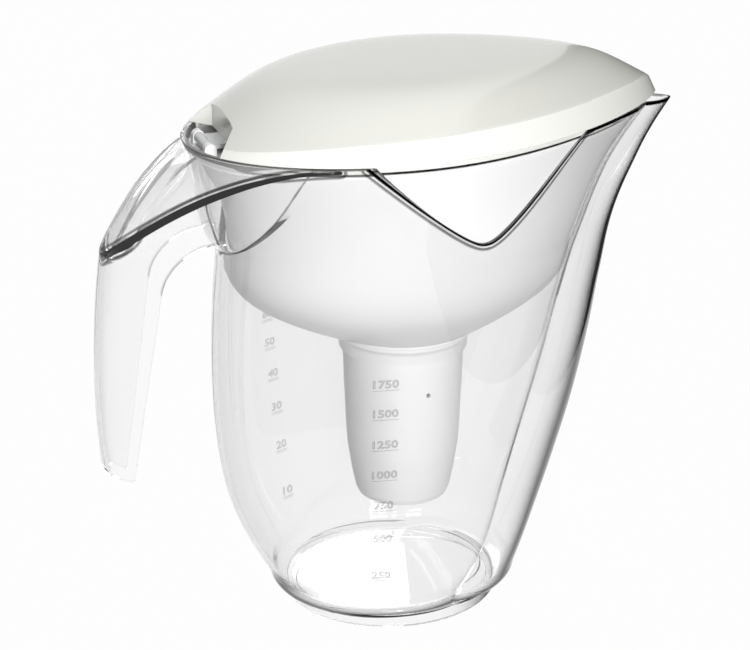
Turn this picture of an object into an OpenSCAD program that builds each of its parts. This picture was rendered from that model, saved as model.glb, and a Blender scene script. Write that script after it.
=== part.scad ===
// Water filter pitcher with a flip lid: one clear jug moulding with a front
// pouring lobe, V-shaped side cut-outs, a hood and a hollow grip; a funnel that
// hangs in the jug; a domed leaf-shaped lid hinged on the funnel; and a round
// filter cartridge that drops into the funnel's neck.
// +Z is up and +X points to the spout. The origin lies on the surface that the
// pitcher stands on, midway between the spout's tip and the grip's back.

/* [Jug height and rim] */
// Height of the rim above the surface
rim_height = 255; // [245:1:270]
// Distance of the rim's rear from the origin
rim_rear = 104; // [102:0.5:107]
// Half width of the rim at its widest
rim_half_width = 70; // [68:0.5:74]
// Distance of the spout's tip from the origin
spout_reach = 152.3; // [151:0.1:156]
// Drop of the spout's tip below the rim
spout_drop = 3.5; // [1:0.5:6]

/* [Jug body] */
// Height of the belly, where the body is measured
belly_height = 136; // [125:1:145]
// Half width of the body at the belly
belly_half_width = 63.8; // [61:0.2:66]
// Distance of the body's rear from the origin at the belly
belly_rear = 91.5; // [86:0.1:94]
// Distance of the pouring lobe's front from the origin at the belly
belly_front = 107; // [102:0.5:112]
// Half width of the body just above the foot
base_half_width = 54; // [52:0.5:58]
// Distance of the body's rear from the origin just above the foot
base_rear = 63; // [60:0.5:66]
// Distance of the pouring lobe's front from the origin just above the foot
base_front = 67.5; // [64:0.5:74]
// Half width of the pouring lobe at the belly
lobe_half_width = 37; // [33:0.5:41]
// Thickness of the jug's wall
jug_wall = 3; // [2.4:0.1:3.4]
// Radius of the rounded edge round the jug's bottom
base_edge_radius = 11; // [8:0.5:12]
// Thickness of the jug's floor
floor_thickness = 3.5; // [3:0.5:6]

/* [Foot] */
// Distance of the foot's middle in front of the origin
foot_forward = 1; // [0:0.5:3]
// Length of the foot ring
foot_length = 112; // [104:1:118]
// Width of the foot ring
foot_width = 106; // [98:1:107]
// Height of the foot ring
foot_height = 3; // [2:0.5:5]
// Width of the foot ring's face
foot_band = 4; // [3:0.5:6]
// Length of the oval recess under the floor
recess_length = 102; // [90:1:103]
// Width of the oval recess under the floor
recess_width = 74; // [60:1:86]
// Depth of the oval recess under the floor
recess_depth = 1; // [0.5:0.1:1.5]

/* [Side cut-outs] */
// Depth of each V below the rim
notch_depth = 45.3; // [30:0.5:50]
// Distance of the V's tip in front of the origin
notch_tip = 28.5; // [20:0.5:36]
// Distance of the V's rear end behind the origin
notch_rear = 32.5; // [28:1:38]
// Distance of the V's front end in front of the origin
notch_front = 86; // [80:1:90]
// Roundness of the V's tip
notch_round = 5; // [3:0.5:8]

/* [Hood and grip] */
// Distance of the grip's back from the origin
grip_reach = 151.9; // [150.5:0.1:156]
// Height of the grip's free end above the surface
grip_end = 83; // [78:1:92]
// Width of the grip at its root
grip_width = 30; // [28:0.5:33]
// Width of the grip at its free end
grip_end_width = 21; // [19:0.5:24]
// Depth of the grip at its free end
grip_end_depth = 13.5; // [12:0.5:16]
// Height of the arch where the grip meets the body
arch_top = 206; // [202:1:208]
// Thickness of the grip's walls
grip_wall = 2.6; // [2.2:0.1:3]
// Drop of the hood's tip below the rim
hood_drop = 50.4; // [46:0.1:53]
// Distance behind the origin where the hood's edge leaves the rim
hood_start = 42; // [38:1:48]
// Thickness of the hood
hood_wall = 3; // [2.6:0.1:3.4]

/* [Funnel] */
// Gap between the funnel and the jug's wall
funnel_gap = 1.1; // [1:0.05:1.4]
// Thickness of the funnel's wall
funnel_wall = 2; // [1.8:0.1:2.4]
// Drop of the funnel's rim below the jug's rim
funnel_drop = 5; // [4:0.5:6]
// Height at which the funnel's wall starts to turn inwards
funnel_turn = 192; // [186:1:198]
// Height of the funnel's underside at the neck
funnel_floor = 147; // [144:0.5:149]
// Thickness of the hinge shelf at the funnel's rear
shelf_thickness = 2; // [1.6:0.1:2.6]

/* [Lid] */
// Gap between the lid's edge and the jug's rim
lid_gap = 0.3; // [0.2:0.05:0.6]
// Height of the lid's side band at its middle
lid_band = 13.3; // [11:0.1:15]
// Rise of the lid's dome above its side band
lid_dome = 18; // [12:0.5:22]
// Thickness of the lid's shell
lid_wall = 2.2; // [1.8:0.1:2.6]
// Height of the lid's skirt below its edge
skirt_height = 4; // [3:0.5:4.5]
// Distance behind the origin of the straight front of the lid's notch
lid_notch_front = 84; // [82:0.5:86]
// Distance behind the origin of the notch's rear corners
lid_notch_rear = 93; // [91:0.5:94]
// Half width of the notch at its front
lid_notch_inner = 19; // [18:0.5:22]
// Half width of the notch at its rear corners
lid_notch_outer = 29; // [26:0.5:31]

/* [Hinge] */
// Distance of the hinge behind the origin
hinge_back = 93.5; // [93:0.1:94.5]
// Drop of the hinge's axis below the rim
hinge_drop = 1; // [0.6:0.1:1.4]
// Radius of the hinge's pins
pin_radius = 1.5; // [1.3:0.1:1.7]
// Clearance round the hinge's pins
pin_clearance = 0.08; // [0.05:0.01:0.1]
// Width of the hinge's tongue
tongue_width = 17; // [13:0.5:19]
// Width of each hinge ear
ear_width = 4; // [3:0.5:4.5]

/* [Cartridge] */
// Distance of the cartridge's axis in front of the origin
cartridge_axis = 8; // [7:0.5:10]
// Outer radius of the cartridge in the neck
cartridge_radius = 30.6; // [29:0.1:31.4]
// Outer radius of the cartridge at its foot
cartridge_foot = 24.4; // [23:0.1:25.5]
// Height of the cartridge's bottom above the surface
cartridge_bottom = 53; // [48:0.5:60]
// Thickness of the cartridge's wall
cartridge_wall = 1.8; // [1.6:0.1:2.2]
// Width of the flange that carries the cartridge
flange_width = 5; // [4.4:0.2:5.6]
// Gap between the cartridge and the neck
neck_gap = 0.3; // [0.2:0.05:0.5]
// Thickness of the neck's wall
neck_wall = 1.7; // [1.5:0.1:2]
// Height of the neck's lower end above the surface
neck_end = 136; // [133:0.5:138]
// Number of inlet slots in the cartridge's cap
cap_slots = 18; // [12:1:20]
// Number of outlet slots in the cartridge's bottom
outlet_slots = 12; // [8:1:14]
// Radius of the air hole in the cartridge's side
air_hole = 1.25; // [0.8:0.05:1.6]

/* [Hidden] */
$fn = 64;

// Clear and moulded colours
clear_plastic = [0.86, 0.90, 0.92, 0.45];
white_plastic = [0.93, 0.93, 0.93];
cream_plastic = [0.87, 0.87, 0.83];
grey_plastic = [0.80, 0.81, 0.81];
seal_rubber = [0.72, 0.74, 0.75];
screen_mesh = [0.85, 0.86, 0.88];
black_granules = [0.20, 0.20, 0.21];

// Steps of the surfaces: stretches of an outline, rings up a wall
pocket_steps = 5;
rear_steps = 4;
notch_rear_steps = 4;
notch_tip_steps = 3;
notch_front_steps = 6;
front_steps = 3;
lobe_steps = 7;
low_rings = 13;
edge_steps = 4;

function mix(a, b, t) = a + (b - a) * t;
function clamp(t) = max(0, min(1, t));
function ease(t) = let (c = clamp(t)) c * c * (3 - 2 * c);
function low(t) = mix(base_height, belly_height, t);
function high(t) = mix(belly_height, rim_height, t);

// ---- Body sections -------------------------------------------------------
// Each row is a level of the body: height, rear, place of the widest point,
// half width, front of the plain barrel, half width of the lobe, front of the
// lobe. Levels between the rows follow a smooth curve through them.
base_height = foot_height + base_edge_radius;
waist_rear = belly_rear - 4;
barrel_base = 54;
barrel_belly = 85.4;
barrel_rim = 144;
lobe_base = 50;
lobe_rim = 9;
// The lobe's front at rim height, above the drooping tip of the spout
lobe_front = spout_reach + 0.75 * spout_drop;
rows = [
    low_row(low(0), 0, 0, 0, 0, 0, 0),
    low_row(low(0.216), 0.5, 0, 0.31, 0.17, 0.615, 0.278),
    low_row(low(0.432), 0.81, 1, 0.56, 0.34, 0.846, 0.528),
    low_row(low(0.712), 0.97, 1, 0.82, 0.66, 0.92, 0.797),
    low_row(low(1), 1, 2, 1, 1, 1, 1),
    high_row(high(0.277), -mix(belly_rear, waist_rear, 0.38), 2.5, 0.19, 0.137, 0.107, 0.124),
    high_row(high(0.538), -waist_rear, 3, 0.39, 0.3, 0.286, 0.271),
    high_row(high(0.756), -mix(waist_rear, rim_rear, 0.15), 4, 0.6, 0.57, 0.571, 0.552),
    high_row(high(1), -rim_rear, 5, 1, 1, 1, 1),
];
function low_row(z, rear, widest, side, barrel, lobe, front) = [
    z, -mix(base_rear, belly_rear, rear), widest,
    mix(base_half_width, belly_half_width, side), mix(barrel_base, barrel_belly, barrel),
    mix(lobe_base, lobe_half_width, lobe), mix(base_front, belly_front, front)];
function high_row(z, rear, widest, side, barrel, lobe, front) = [
    z, rear, widest,
    mix(belly_half_width, rim_half_width, side), mix(barrel_belly, barrel_rim, barrel),
    mix(lobe_half_width, lobe_rim, lobe), mix(belly_front, lobe_front, front)];

// Smooth curve through column c of the rows, at height z
last_row = len(rows) - 1;
function row_below(z, k = 0) = k >= last_row - 1 || z < rows[k + 1][0] ? k : row_below(z, k + 1);
function slope(k, c) = let (a = max(k - 1, 0), b = min(k + 1, last_row))
    (rows[b][c] - rows[a][c]) / (rows[b][0] - rows[a][0]);
function curve(z, c) = let (
    k = row_below(z),
    h = rows[k + 1][0] - rows[k][0],
    t = (z - rows[k][0]) / h,
    a = rows[k][c],
    b = rows[k + 1][c])
    a * (1 + 2 * t) * (1 - t) ^ 2 + b * t ^ 2 * (3 - 2 * t)
    + h * slope(k, c) * t * (1 - t) ^ 2 - h * slope(k + 1, c) * t ^ 2 * (1 - t);

// One level with a wall taken off all round: [rear, widest, side, barrel, lobe, front]
function level(z, inset) = [
    curve(z, 1) + inset, curve(z, 2), curve(z, 3) - inset,
    curve(z, 4) - inset, curve(z, 5) - inset, curve(z, 6) - inset];
// The front of an outline is an ellipse low down and a leaf's point at the rim
function sharpness(z) = ease((z - high(0.5)) / (rim_height - high(0.5)));
function front_power(z) = mix(0.5, 0.8, sharpness(z));
function front_bend(z) = mix(2, 1.8, sharpness(z));
function half_width_at(t, side, z) = side * (1 - t ^ front_bend(z)) ^ front_power(z);
function reach_at(share, z) = (1 - share ^ (1 / front_power(z))) ^ (1 / front_bend(z));

// The pocket is a lobe in the body's rear, under the hood. It starts with a
// rounded lower end and dies out towards the rim.
pocket_bottom = high(0.52);
function pocket_rise(z) = clamp((z - pocket_bottom) / (rim_height - pocket_bottom));
function pocket_depth(z) = let (fade = high(0.72))
    ease((z - pocket_bottom + 2) / 8) * (1 - ease((z - fade) / (rim_height - fade)));
function pocket_half_width(z) = max(5, 58 * pocket_rise(z) ^ 0.45);
function pocket_rear(z) = -rim_rear + 13 * (1 - pocket_rise(z)) ^ 1.4;

// Shares of the outline at which the V's ends and tip lie
notch_bottom = rim_height - notch_depth;
notch_rear_share = let (s = level(rim_height, 0), a = asin(pocket_half_width(rim_height) / s[2]))
    (acos((s[1] + notch_rear) / (s[1] - s[0])) - a) / (90 - a);
function front_share(x, z) = let (s = level(z, 0))
    asin((x - s[1]) / (s[3] - s[1])) / asin(reach_at(s[4] / s[2], z));
notch_tip_share = front_share(notch_tip, notch_bottom);
notch_front_share = front_share(notch_front, rim_height);
function steps(a, b, n) = [for (i = [0:n - 1]) mix(a, b, i / n)];
rear_shares = concat(steps(0, notch_rear_share, rear_steps), steps(notch_rear_share, 1, notch_rear_steps));
front_shares = concat(
    steps(0, notch_tip_share, notch_tip_steps),
    steps(notch_tip_share, notch_front_share, notch_front_steps),
    steps(notch_front_share, 1, front_steps));

// Points of half an outline as [x, half width], from the rear to the front
function arc_point(s, a) = [s[1] - (s[1] - s[0]) * cos(a), s[2] * sin(a)];
function pocket_angle(s, z) = asin(pocket_half_width(z) / s[2]);
function pocket_points(s, z, inset, depth) = let (
    end = pocket_angle(s, z),
    corner = arc_point(s, end),
    rear = pocket_rear(z) + inset)
    [for (i = [0:pocket_steps - 1]) let (
        t = i / pocket_steps,
        lobe = [mix(corner[0], rear, cos(90 * t)), corner[1] * sin(90 * t)])
        mix(arc_point(s, end * t), lobe, depth)];
function rear_points(s, z) = [for (t = rear_shares) arc_point(s, mix(pocket_angle(s, z), 90, t))];
function side_points(s, z, end) = [for (f = front_shares) let (t = sin(f * asin(end)))
    [mix(s[1], s[3], t), half_width_at(t, s[2], z)]];
function lobe_points(s, end) = let (x = mix(s[1], s[3], end))
    [for (i = [0:lobe_steps]) let (a = 90 * i / lobe_steps)
    [mix(x, s[5], sin(a)), i == lobe_steps ? 0 : s[4] * cos(a)]];
function mirrored(half) = let (n = len(half)) concat(
    [for (p = half) [p[0], -p[1]]],
    [for (i = [n - 2:-1:1]) half[i]]);
// Outline of the jug, with its lobes, and of the plain barrel inside it
function jug_outline(z, inset) = let (s = level(z, inset), end = reach_at(s[4] / s[2], z))
    mirrored(concat(
        pocket_points(s, z, inset, pocket_depth(z)), rear_points(s, z),
        side_points(s, z, end), lobe_points(s, end)));
function barrel_outline(z, inset) = let (s = level(z, inset))
    mirrored(concat(
        pocket_points(s, z, inset, 0), rear_points(s, z),
        side_points(s, z, 1), [[s[3], 0]]));

// ---- Solids from surfaces ------------------------------------------------
function raised(outline, z) = [for (p = outline) [p[0], p[1], z]];
function strip(a, b, n) = [for (j = [0:n - 1]) let (k = (j + 1) % n)
    each [[a + j, b + j, b + k], [a + j, b + k, a + k]]];
// Rings that start and end in a middle point
module vessel(rings, first, last) {
    n = len(rings[0]);
    m = len(rings);
    polyhedron(
        points = concat([for (r = rings) each r], [first, last]),
        faces = concat(
            [for (i = [0:m - 2]) each strip(i * n, (i + 1) * n, n)],
            [for (j = [0:n - 1]) [m * n, j, (j + 1) % n]],
            [for (j = [0:n - 1]) [m * n + 1, (m - 1) * n + (j + 1) % n, (m - 1) * n + j]]),
        convexity = 8);
}
// Rings that close on themselves, as round a tube's wall
module hoop(rings) {
    n = len(rings[0]);
    m = len(rings);
    polyhedron(
        points = [for (r = rings) each r],
        faces = [for (i = [0:m - 1]) each strip(i * n, ((i + 1) % m) * n, n)],
        convexity = 8);
}
// A sheet between an outer and an inner grid of points
module sheet(outer, inner) {
    m = len(outer);
    n = len(outer[0]);
    polyhedron(
        points = [for (i = [0:m - 1]) each concat(outer[i], [for (j = [n - 1:-1:0]) inner[i][j]])],
        faces = concat(
            [for (i = [0:m - 2]) each strip((i + 1) * 2 * n, i * 2 * n, 2 * n)],
            end_faces(0, n, false),
            end_faces((m - 1) * 2 * n, n, true)),
        convexity = 8);
}
function end_faces(start, n, flip) = [for (j = [0:n - 2]) let (
    a = start + j, b = start + j + 1, c = start + 2 * n - 2 - j, d = start + 2 * n - 1 - j)
    each flip ? [[a, b, c], [a, c, d]] : [[a, c, b], [a, d, c]]];

// ---- Jug -----------------------------------------------------------------
droop_start = 107;
// Height of the rim over a point of the outline: the droop of the spout, and
// the V on each side with its rounded tip
function rim_at(x) = let (share = ease((x - droop_start) / (spout_reach - droop_start)))
    min(rim_height - spout_drop * share, v_edge(x));
function v_edge(x) = let (
    run = x < notch_tip ? notch_tip + notch_rear : notch_front - notch_tip,
    d = (x - notch_tip) / run,
    r = notch_round / run)
    notch_bottom + notch_depth * ((sqrt(d ^ 2 + r ^ 2) - r) / (sqrt(1 + r ^ 2) - r)) ^ 1.1;
// A column of the wall leans, so the height where it meets the rim is found in steps
function rim_of(j, z, n) = n == 0 ? z : rim_of(j, mix(z, rim_at(jug_outline(z, 0)[j][0]), 0.8), n - 1);
rim_heights = [for (j = [0:len(jug_outline(rim_height, 0)) - 1]) rim_of(j, rim_height, 6)];

high_start = high(0.47);
high_shares = [0.06, 0.12, 0.18, 0.25, 0.35, 0.5, 0.75, 1];
function wall_rings(inset, from) = concat(
    [for (i = [0:low_rings]) let (z = mix(from, high_start, i / low_rings))
        raised(jug_outline(z, inset), z)],
    [for (t = high_shares) rim_ring(t, inset)]);
// A ring that climbs with the rim: each point keeps its share of the height
function rim_ring(t, inset) = [for (j = [0:len(rim_heights) - 1]) let (
    z = mix(high_start, rim_heights[j], t),
    p = jug_outline(z, inset)[j])
    [p[0], p[1], z]];
// Rings round the bottom's edge, from the flat bottom up to the wall
function edge_rings(inset, radius, foot) = [for (i = [0:edge_steps - 1]) let (a = 90 - 90 * i / edge_steps)
    raised(jug_outline(base_height, inset + radius * (1 - cos(a))), foot + radius * (1 - sin(a)))];

inner_radius = base_edge_radius - jug_wall;
floor_height = foot_height + floor_thickness;
module jug_walls() {
    outer = concat(edge_rings(0, base_edge_radius, foot_height), wall_rings(0, base_height));
    inner = concat(
        edge_rings(jug_wall, inner_radius, floor_height),
        wall_rings(jug_wall, floor_height + inner_radius));
    n = len(inner);
    vessel(
        concat(outer, [for (i = [n - 1:-1:0]) inner[i]]),
        [0, 0, foot_height],
        [0, 0, floor_height]);
}

module oval(length, width) {
    polygon([for (i = [0:47]) [length / 2 * cos(7.5 * i), width / 2 * sin(7.5 * i)]]);
}
module floor_recess() {
    translate([foot_forward, 0, foot_height - 1])
        linear_extrude(1 + recess_depth)
            oval(recess_length, recess_width);
}
foot_root = 4;
module foot_ring() {
    translate([foot_forward, 0, 0])
        linear_extrude(foot_height + foot_root)
            difference() {
                oval(foot_length, foot_width);
                oval(foot_length - 2 * foot_band, foot_width - 2 * foot_band);
            }
}

// The hood runs from the rim's rear outline down to its own edge. Across it,
// t goes from the middle (0) to the end at the side (1).
hood_steps = 12;
hood_rows = 5;
hood_tip = grip_reach - 4.8;
hood_crown = 28;
hood_end_width = let (s = level(rim_height, 0)) s[2] * sqrt(1 - ((s[1] + hood_start) / (s[1] - s[0])) ^ 2);
hood_top_height = rim_height - 0.8;
function hood_top(t) = let (
    s = level(rim_height, jug_wall / 2),
    w = hood_end_width * t,
    x = s[1] - (s[1] - s[0]) * sqrt(1 - (w / s[2]) ^ 2))
    [x, w, hood_top_height];
function hood_edge(t) = let (s = t ^ 1.55)
    [mix(-hood_tip, -hood_start, s), hood_end_width * s ^ 0.65,
        hood_top_height - (hood_drop - 0.8) * (1 - s) ^ 2.15];
function hood_point(t, v) = mix(hood_top(t), hood_edge(t), v) + [0, 0, hood_crown * (1 - t) * v * (1 - v)];
function hood_side(u, v, down) = let (p = hood_point(abs(u), v))
    [p[0] + 0.6 * down * (1 - abs(u)), sign(u) * p[1], p[2] - down * mix(1.25, 1, abs(u))];
module hood() {
    us = [for (i = [-hood_steps:hood_steps]) i / hood_steps * 0.985];
    sheet(
        [for (u = us) [for (k = [0:hood_rows]) hood_side(u, k / hood_rows, 0)]],
        [for (u = us) [for (k = [0:hood_rows]) hood_side(u, k / hood_rows, hood_wall)]]);
}

// The grip is a channel, open towards the jug. Its level sections run from the
// free end up through the arch into the hood.
arch_height = 22;
arch_reach = 24;
grip_slope = 0.163;
grip_levels = concat(
    [grip_end, mix(grip_end, arch_top, 0.08), mix(grip_end, arch_top, 0.2)],
    [for (t = [0.36, 0.52, 0.66, 0.76, 0.83, 0.88, 0.92, 0.95, 0.975, 0.99, 1]) mix(grip_end, arch_top, t)],
    [for (t = [0.08, 0.2, 0.35, 0.5, 0.65, 0.8, 0.93]) mix(arch_top, hood_top_height, t)]);
function grip_back(z) = z < hood_top_height - hood_drop
    ? -grip_reach + 4.9 * ((z - 125) / 70) ^ 2 : hood_back(z);
// Middle line of the hood at a height, half way into its wall
function hood_back(z) = let (
    drop = hood_drop - 0.8 - hood_crown,
    v = (sqrt(drop ^ 2 + 4 * hood_crown * (hood_top_height - z)) - drop) / (2 * hood_crown))
    mix(hood_top(0)[0], -hood_tip, min(v, 1)) + 2.5;
function grip_front(z) = z < arch_top
    ? grip_back(grip_end) + grip_end_depth + grip_slope * (z - grip_end)
        + arch_reach * (1 - sqrt(1 - clamp((z - arch_top + arch_height) / arch_height) ^ 2))
    : mix(-waist_rear + 1.2, pocket_rear(z) + 3.1, ease((z - arch_top) / 5));
function grip_half_width(z) = let (share = ease((z - grip_end) / (arch_top - grip_end)))
    mix(grip_end_width, grip_width, share) / 2;
grip_corner_steps = 5;
end_slant = 5.5;
function grip_section(z, inset) = let (
    w = grip_half_width(z) - inset,
    back = grip_back(z) + inset,
    front = grip_front(z),
    depth = min(10, 0.6 * (front - back)),
    half = concat([[front, w]], [for (i = [0:grip_corner_steps]) let (a = 90 * i / grip_corner_steps)
        [back + depth * (1 - sin(a) ^ 0.7), i == grip_corner_steps ? 0 : w * cos(a) ^ 0.7]]),
    slant = end_slant * (1 - clamp((z - grip_end) / 40)) / (front - back),
    n = len(half),
    side = [for (p = half) [p[0], p[1], z + slant * (front - p[0])]])
    concat([for (p = side) [p[0], -p[1], p[2]]], [for (i = [n - 2:-1:0]) side[i]]);
module grip() {
    sheet([for (z = grip_levels) grip_section(z, 0)], [for (z = grip_levels) grip_section(z, grip_wall)]);
}

module jug() {
    color(clear_plastic) difference() {
        union() {
            jug_walls();
            foot_ring();
            hood();
            grip();
        }
        floor_recess();
    }
}

// ---- Funnel --------------------------------------------------------------
funnel_inset = jug_wall + funnel_gap;
funnel_top = rim_height - funnel_drop;
neck_bore = cartridge_radius + neck_gap;
neck_radius = neck_bore + neck_wall;
ledge_radius = cartridge_radius + flange_width + 0.8;
ledge_height = funnel_floor + 2.5;
// The underside: share of the way in from the wall to the neck, share of the way down
funnel_turns = [[0, 0], [0.02, 0.18], [0.085, 0.36], [0.21, 0.53], [0.44, 0.71], [0.73, 0.88], [1, 1]];
function neck_circle(outline, radius) = [for (p = outline) let (
    dx = p[0] - cartridge_axis, d = norm([dx, p[1]]))
    [cartridge_axis + radius * dx / d, radius * p[1] / d]];
function funnel_rings(inset, lift) = let (
    turn = barrel_outline(funnel_turn, funnel_inset + inset),
    neck = neck_circle(turn, ledge_radius - 1.5))
    concat(
        [for (i = [len(funnel_turns) - 1:-1:0]) let (g = funnel_turns[i])
            raised([for (j = [0:len(turn) - 1]) mix(turn[j], neck[j], g[0])],
                mix(funnel_turn, funnel_floor, g[1]) + lift * g[0])],
        [for (i = [1:5]) let (z = mix(funnel_turn, funnel_top, i / 5))
            raised(barrel_outline(z, funnel_inset + inset), z)]);
module funnel_bowl() {
    outer = funnel_rings(0, 0);
    inner = funnel_rings(funnel_wall, funnel_wall);
    n = len(inner);
    hoop(concat(outer, [for (i = [n - 1:-1:0]) inner[i]]));
}
module neck() {
    translate([cartridge_axis, 0, 0])
        rotate_extrude($fn = 96)
            polygon([
                [neck_bore, neck_end], [neck_radius, neck_end], [neck_radius, neck_end + 1.5],
                [neck_radius + 0.6, neck_end + 6], [neck_radius + 1.8, neck_end + 8.5],
                [neck_radius + 1.8, funnel_floor - 1.2], [ledge_radius, funnel_floor - 0.4],
                [ledge_radius, ledge_height], [neck_bore, ledge_height]]);
}

module funnel() {
    color(white_plastic) union() {
        funnel_bowl();
        neck();
        hinge_shelf();
    }
}

// ---- Hinge ---------------------------------------------------------------
hinge_height = rim_height - hinge_drop;
barrel_radius = pin_radius + 1.1;
tongue_thickness = 2.4;
pin_bore = pin_radius + pin_clearance;
ear_radius = pin_bore + 1.4;
ear_gap = 0.4;
shelf_top = hinge_height - ear_radius - 0.2;
shelf_front = -lid_notch_front + 4;
ear_start = tongue_width / 2 + ear_gap;
pin_end = ear_start + ear_width - 0.6;
module across(from, to) {
    translate([0, to, 0])
        rotate([90, 0, 0])
            linear_extrude(to - from)
                children();
}
// The shelf closes the rear of the funnel, out to the jug's pocket
module hinge_shelf() {
    rim = jug_outline(shelf_top, funnel_inset);
    translate([0, 0, shelf_top - shelf_thickness])
        linear_extrude(shelf_thickness)
            intersection() {
                polygon(rim);
                translate([-rim_rear - 20, -rim_half_width])
                    square([rim_rear + 20 + shelf_front, 2 * rim_half_width]);
            }
    for (side = [-1, 1])
        across(side < 0 ? -ear_start - ear_width : ear_start, side < 0 ? -ear_start : ear_start + ear_width)
            difference() {
                union() {
                    translate([-hinge_back, hinge_height]) circle(ear_radius);
                    translate([-hinge_back - ear_radius, shelf_top - 1])
                        square([2 * ear_radius, hinge_height - shelf_top + 1]);
                }
                translate([-hinge_back, hinge_height]) circle(pin_bore);
            }
}
module hinge_tongue() {
    color(grey_plastic) union() {
        across(-tongue_width / 2, tongue_width / 2) {
            translate([-hinge_back, hinge_height]) circle(barrel_radius);
            // The bar's top carries the front wall of the lid's notch
            translate([-hinge_back, lid_edge - tongue_thickness])
                square([hinge_back - lid_notch_front + lid_wall, tongue_thickness]);
        }
        translate([-hinge_back, 0, hinge_height])
            rotate([90, 0, 0])
                cylinder(r = pin_radius, h = 2 * pin_end, center = true);
    }
}

// ---- Lid -----------------------------------------------------------------
lid_edge = rim_height + lid_gap;
lid_tip = spout_reach - 8.8;
lid_middle = 22;
band_inset = 3;
// Leaf-shaped outline of the lid, from its rear end to its point
lid_side_steps = 15;
function lid_outline(inset) = let (
    s = level(rim_height, inset + 0.2),
    front = lid_tip - inset * 1.4)
    mirrored(concat(
        [for (i = [0:11]) arc_point(s, 90 * i / 12)],
        [for (i = [0:lid_side_steps]) let (t = sin(90 * i / lid_side_steps))
            [mix(s[1], front, t), i == lid_side_steps ? 0 : half_width_at(t, s[2], rim_height)]]));
function along(x) = clamp((x + rim_rear) / (lid_tip + rim_rear));
function band_height(x) = let (t = along(x)) lid_band * (1 - 0.92 * (1 - t) ^ 4) * (1 - 0.8 * t ^ 20);
// Rings of the dome, from the crease above the side band to near the middle
dome_shares = [1, 0.96, 0.9, 0.82, 0.7, 0.52, 0.28];
function dome_rings(inset, drop, least) = let (crease = lid_outline(inset + band_inset))
    [for (r = dome_shares) [for (j = [0:len(crease) - 1]) let (
        p = mix([lid_middle, 0], crease[j], r),
        band = band_height(lid_outline(inset)[j][0]),
        h = mix(lid_band + lid_dome, band, r ^ 5) - drop)
        [p[0], p[1], lid_edge + (r == 1 ? max(h, least) : h)]]];
// The skirt hangs from a narrow ledge inside the lid's edge, into the jug
skirt_gap = 0.5;
skirt_wall = 1.6;
skirt_inset = funnel_inset + skirt_gap;
skirt_low = lid_edge - skirt_height;
ledge_rise = 1.4;
least_crease = 1.2;
function ledge_top(x) = lid_edge + min(ledge_rise, max(band_height(x) - lid_wall, least_crease) - 0.4);
function at_ledge(outline) = [for (p = outline) [p[0], p[1], ledge_top(p[0])]];
module lid_outside() {
    vessel(
        concat(
            [raised(lid_outline(skirt_inset), skirt_low), raised(lid_outline(skirt_inset), lid_edge),
                raised(lid_outline(0), lid_edge)],
            dome_rings(0, 0, 0)),
        [lid_middle, 0, skirt_low],
        [lid_middle, 0, lid_edge + lid_band + lid_dome]);
}
module lid_inside() {
    inset = skirt_inset + skirt_wall;
    vessel(
        concat(
            [raised(lid_outline(inset), skirt_low - 1), at_ledge(lid_outline(inset)),
                at_ledge(lid_outline(lid_wall + 0.5))],
            dome_rings(lid_wall, lid_wall, least_crease)),
        [lid_middle, 0, skirt_low - 1],
        [lid_middle, 0, lid_edge + lid_band + lid_dome - lid_wall]);
}
// The notch at the lid's rear, as seen from above, with a wall added round it
notch_overrun = 9;
module lid_notch(wall, low) {
    slant = (lid_notch_outer - lid_notch_inner) / (lid_notch_rear - lid_notch_front);
    front = wall - lid_notch_front;
    beyond = rim_rear - lid_notch_rear + notch_overrun;
    rear = -lid_notch_rear - beyond;
    inner = lid_notch_inner + wall;
    outer = inner + slant * (beyond + lid_notch_rear - lid_notch_front);
    translate([0, 0, low])
        linear_extrude(60)
            polygon([[front, -inner], [front, inner], [rear, outer], [rear, -outer]]);
}
module lid() {
    color(cream_plastic) difference() {
        lid_outside();
        difference() {
            lid_inside();
            lid_notch(lid_wall, lid_edge);
        }
        lid_notch(0, skirt_low - 10);
    }
}

// ---- Cartridge -----------------------------------------------------------
seal_thickness = 1.4;
seal_gap = 0.15;
flange_thickness = 2;
flange_height = ledge_height + seal_gap + seal_thickness;
cartridge_top = flange_height + flange_thickness;
function shell_profile(inset) = [
    [cartridge_radius - inset, cartridge_top],
    [cartridge_radius - inset, neck_end - 2],
    [cartridge_radius - 0.5 - inset, neck_end - 20],
    [cartridge_radius - 1.5 - inset, cartridge_bottom + 38],
    [mix(cartridge_foot, cartridge_radius, 0.66) - inset, cartridge_bottom + 28],
    [mix(cartridge_foot, cartridge_radius, 0.3) - inset, cartridge_bottom + 13],
    [cartridge_foot - inset, cartridge_bottom + 4]];
module turned() {
    translate([cartridge_axis, 0, 0])
        rotate_extrude($fn = 96)
            children();
}
inner_radius_at_top = cartridge_radius - cartridge_wall;
bottom_inside = cartridge_bottom + cartridge_wall;
module cartridge_housing() {
    color(white_plastic) difference() {
        turned()
            polygon(concat(
                [[cartridge_radius + flange_width, flange_height], [cartridge_radius, flange_height]],
                shell_profile(0),
                [[cartridge_foot - 1.2, cartridge_bottom + 1.2], [cartridge_foot - 4, cartridge_bottom],
                    [0, cartridge_bottom], [0, bottom_inside],
                    [cartridge_foot - cartridge_wall, bottom_inside]],
                [for (i = [len(shell_profile(0)) - 1:-1:0]) shell_profile(cartridge_wall)[i]],
                [[inner_radius_at_top, cartridge_top], [cartridge_radius + flange_width, cartridge_top]]));
        outlets();
        air_passage();
    }
}
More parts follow.
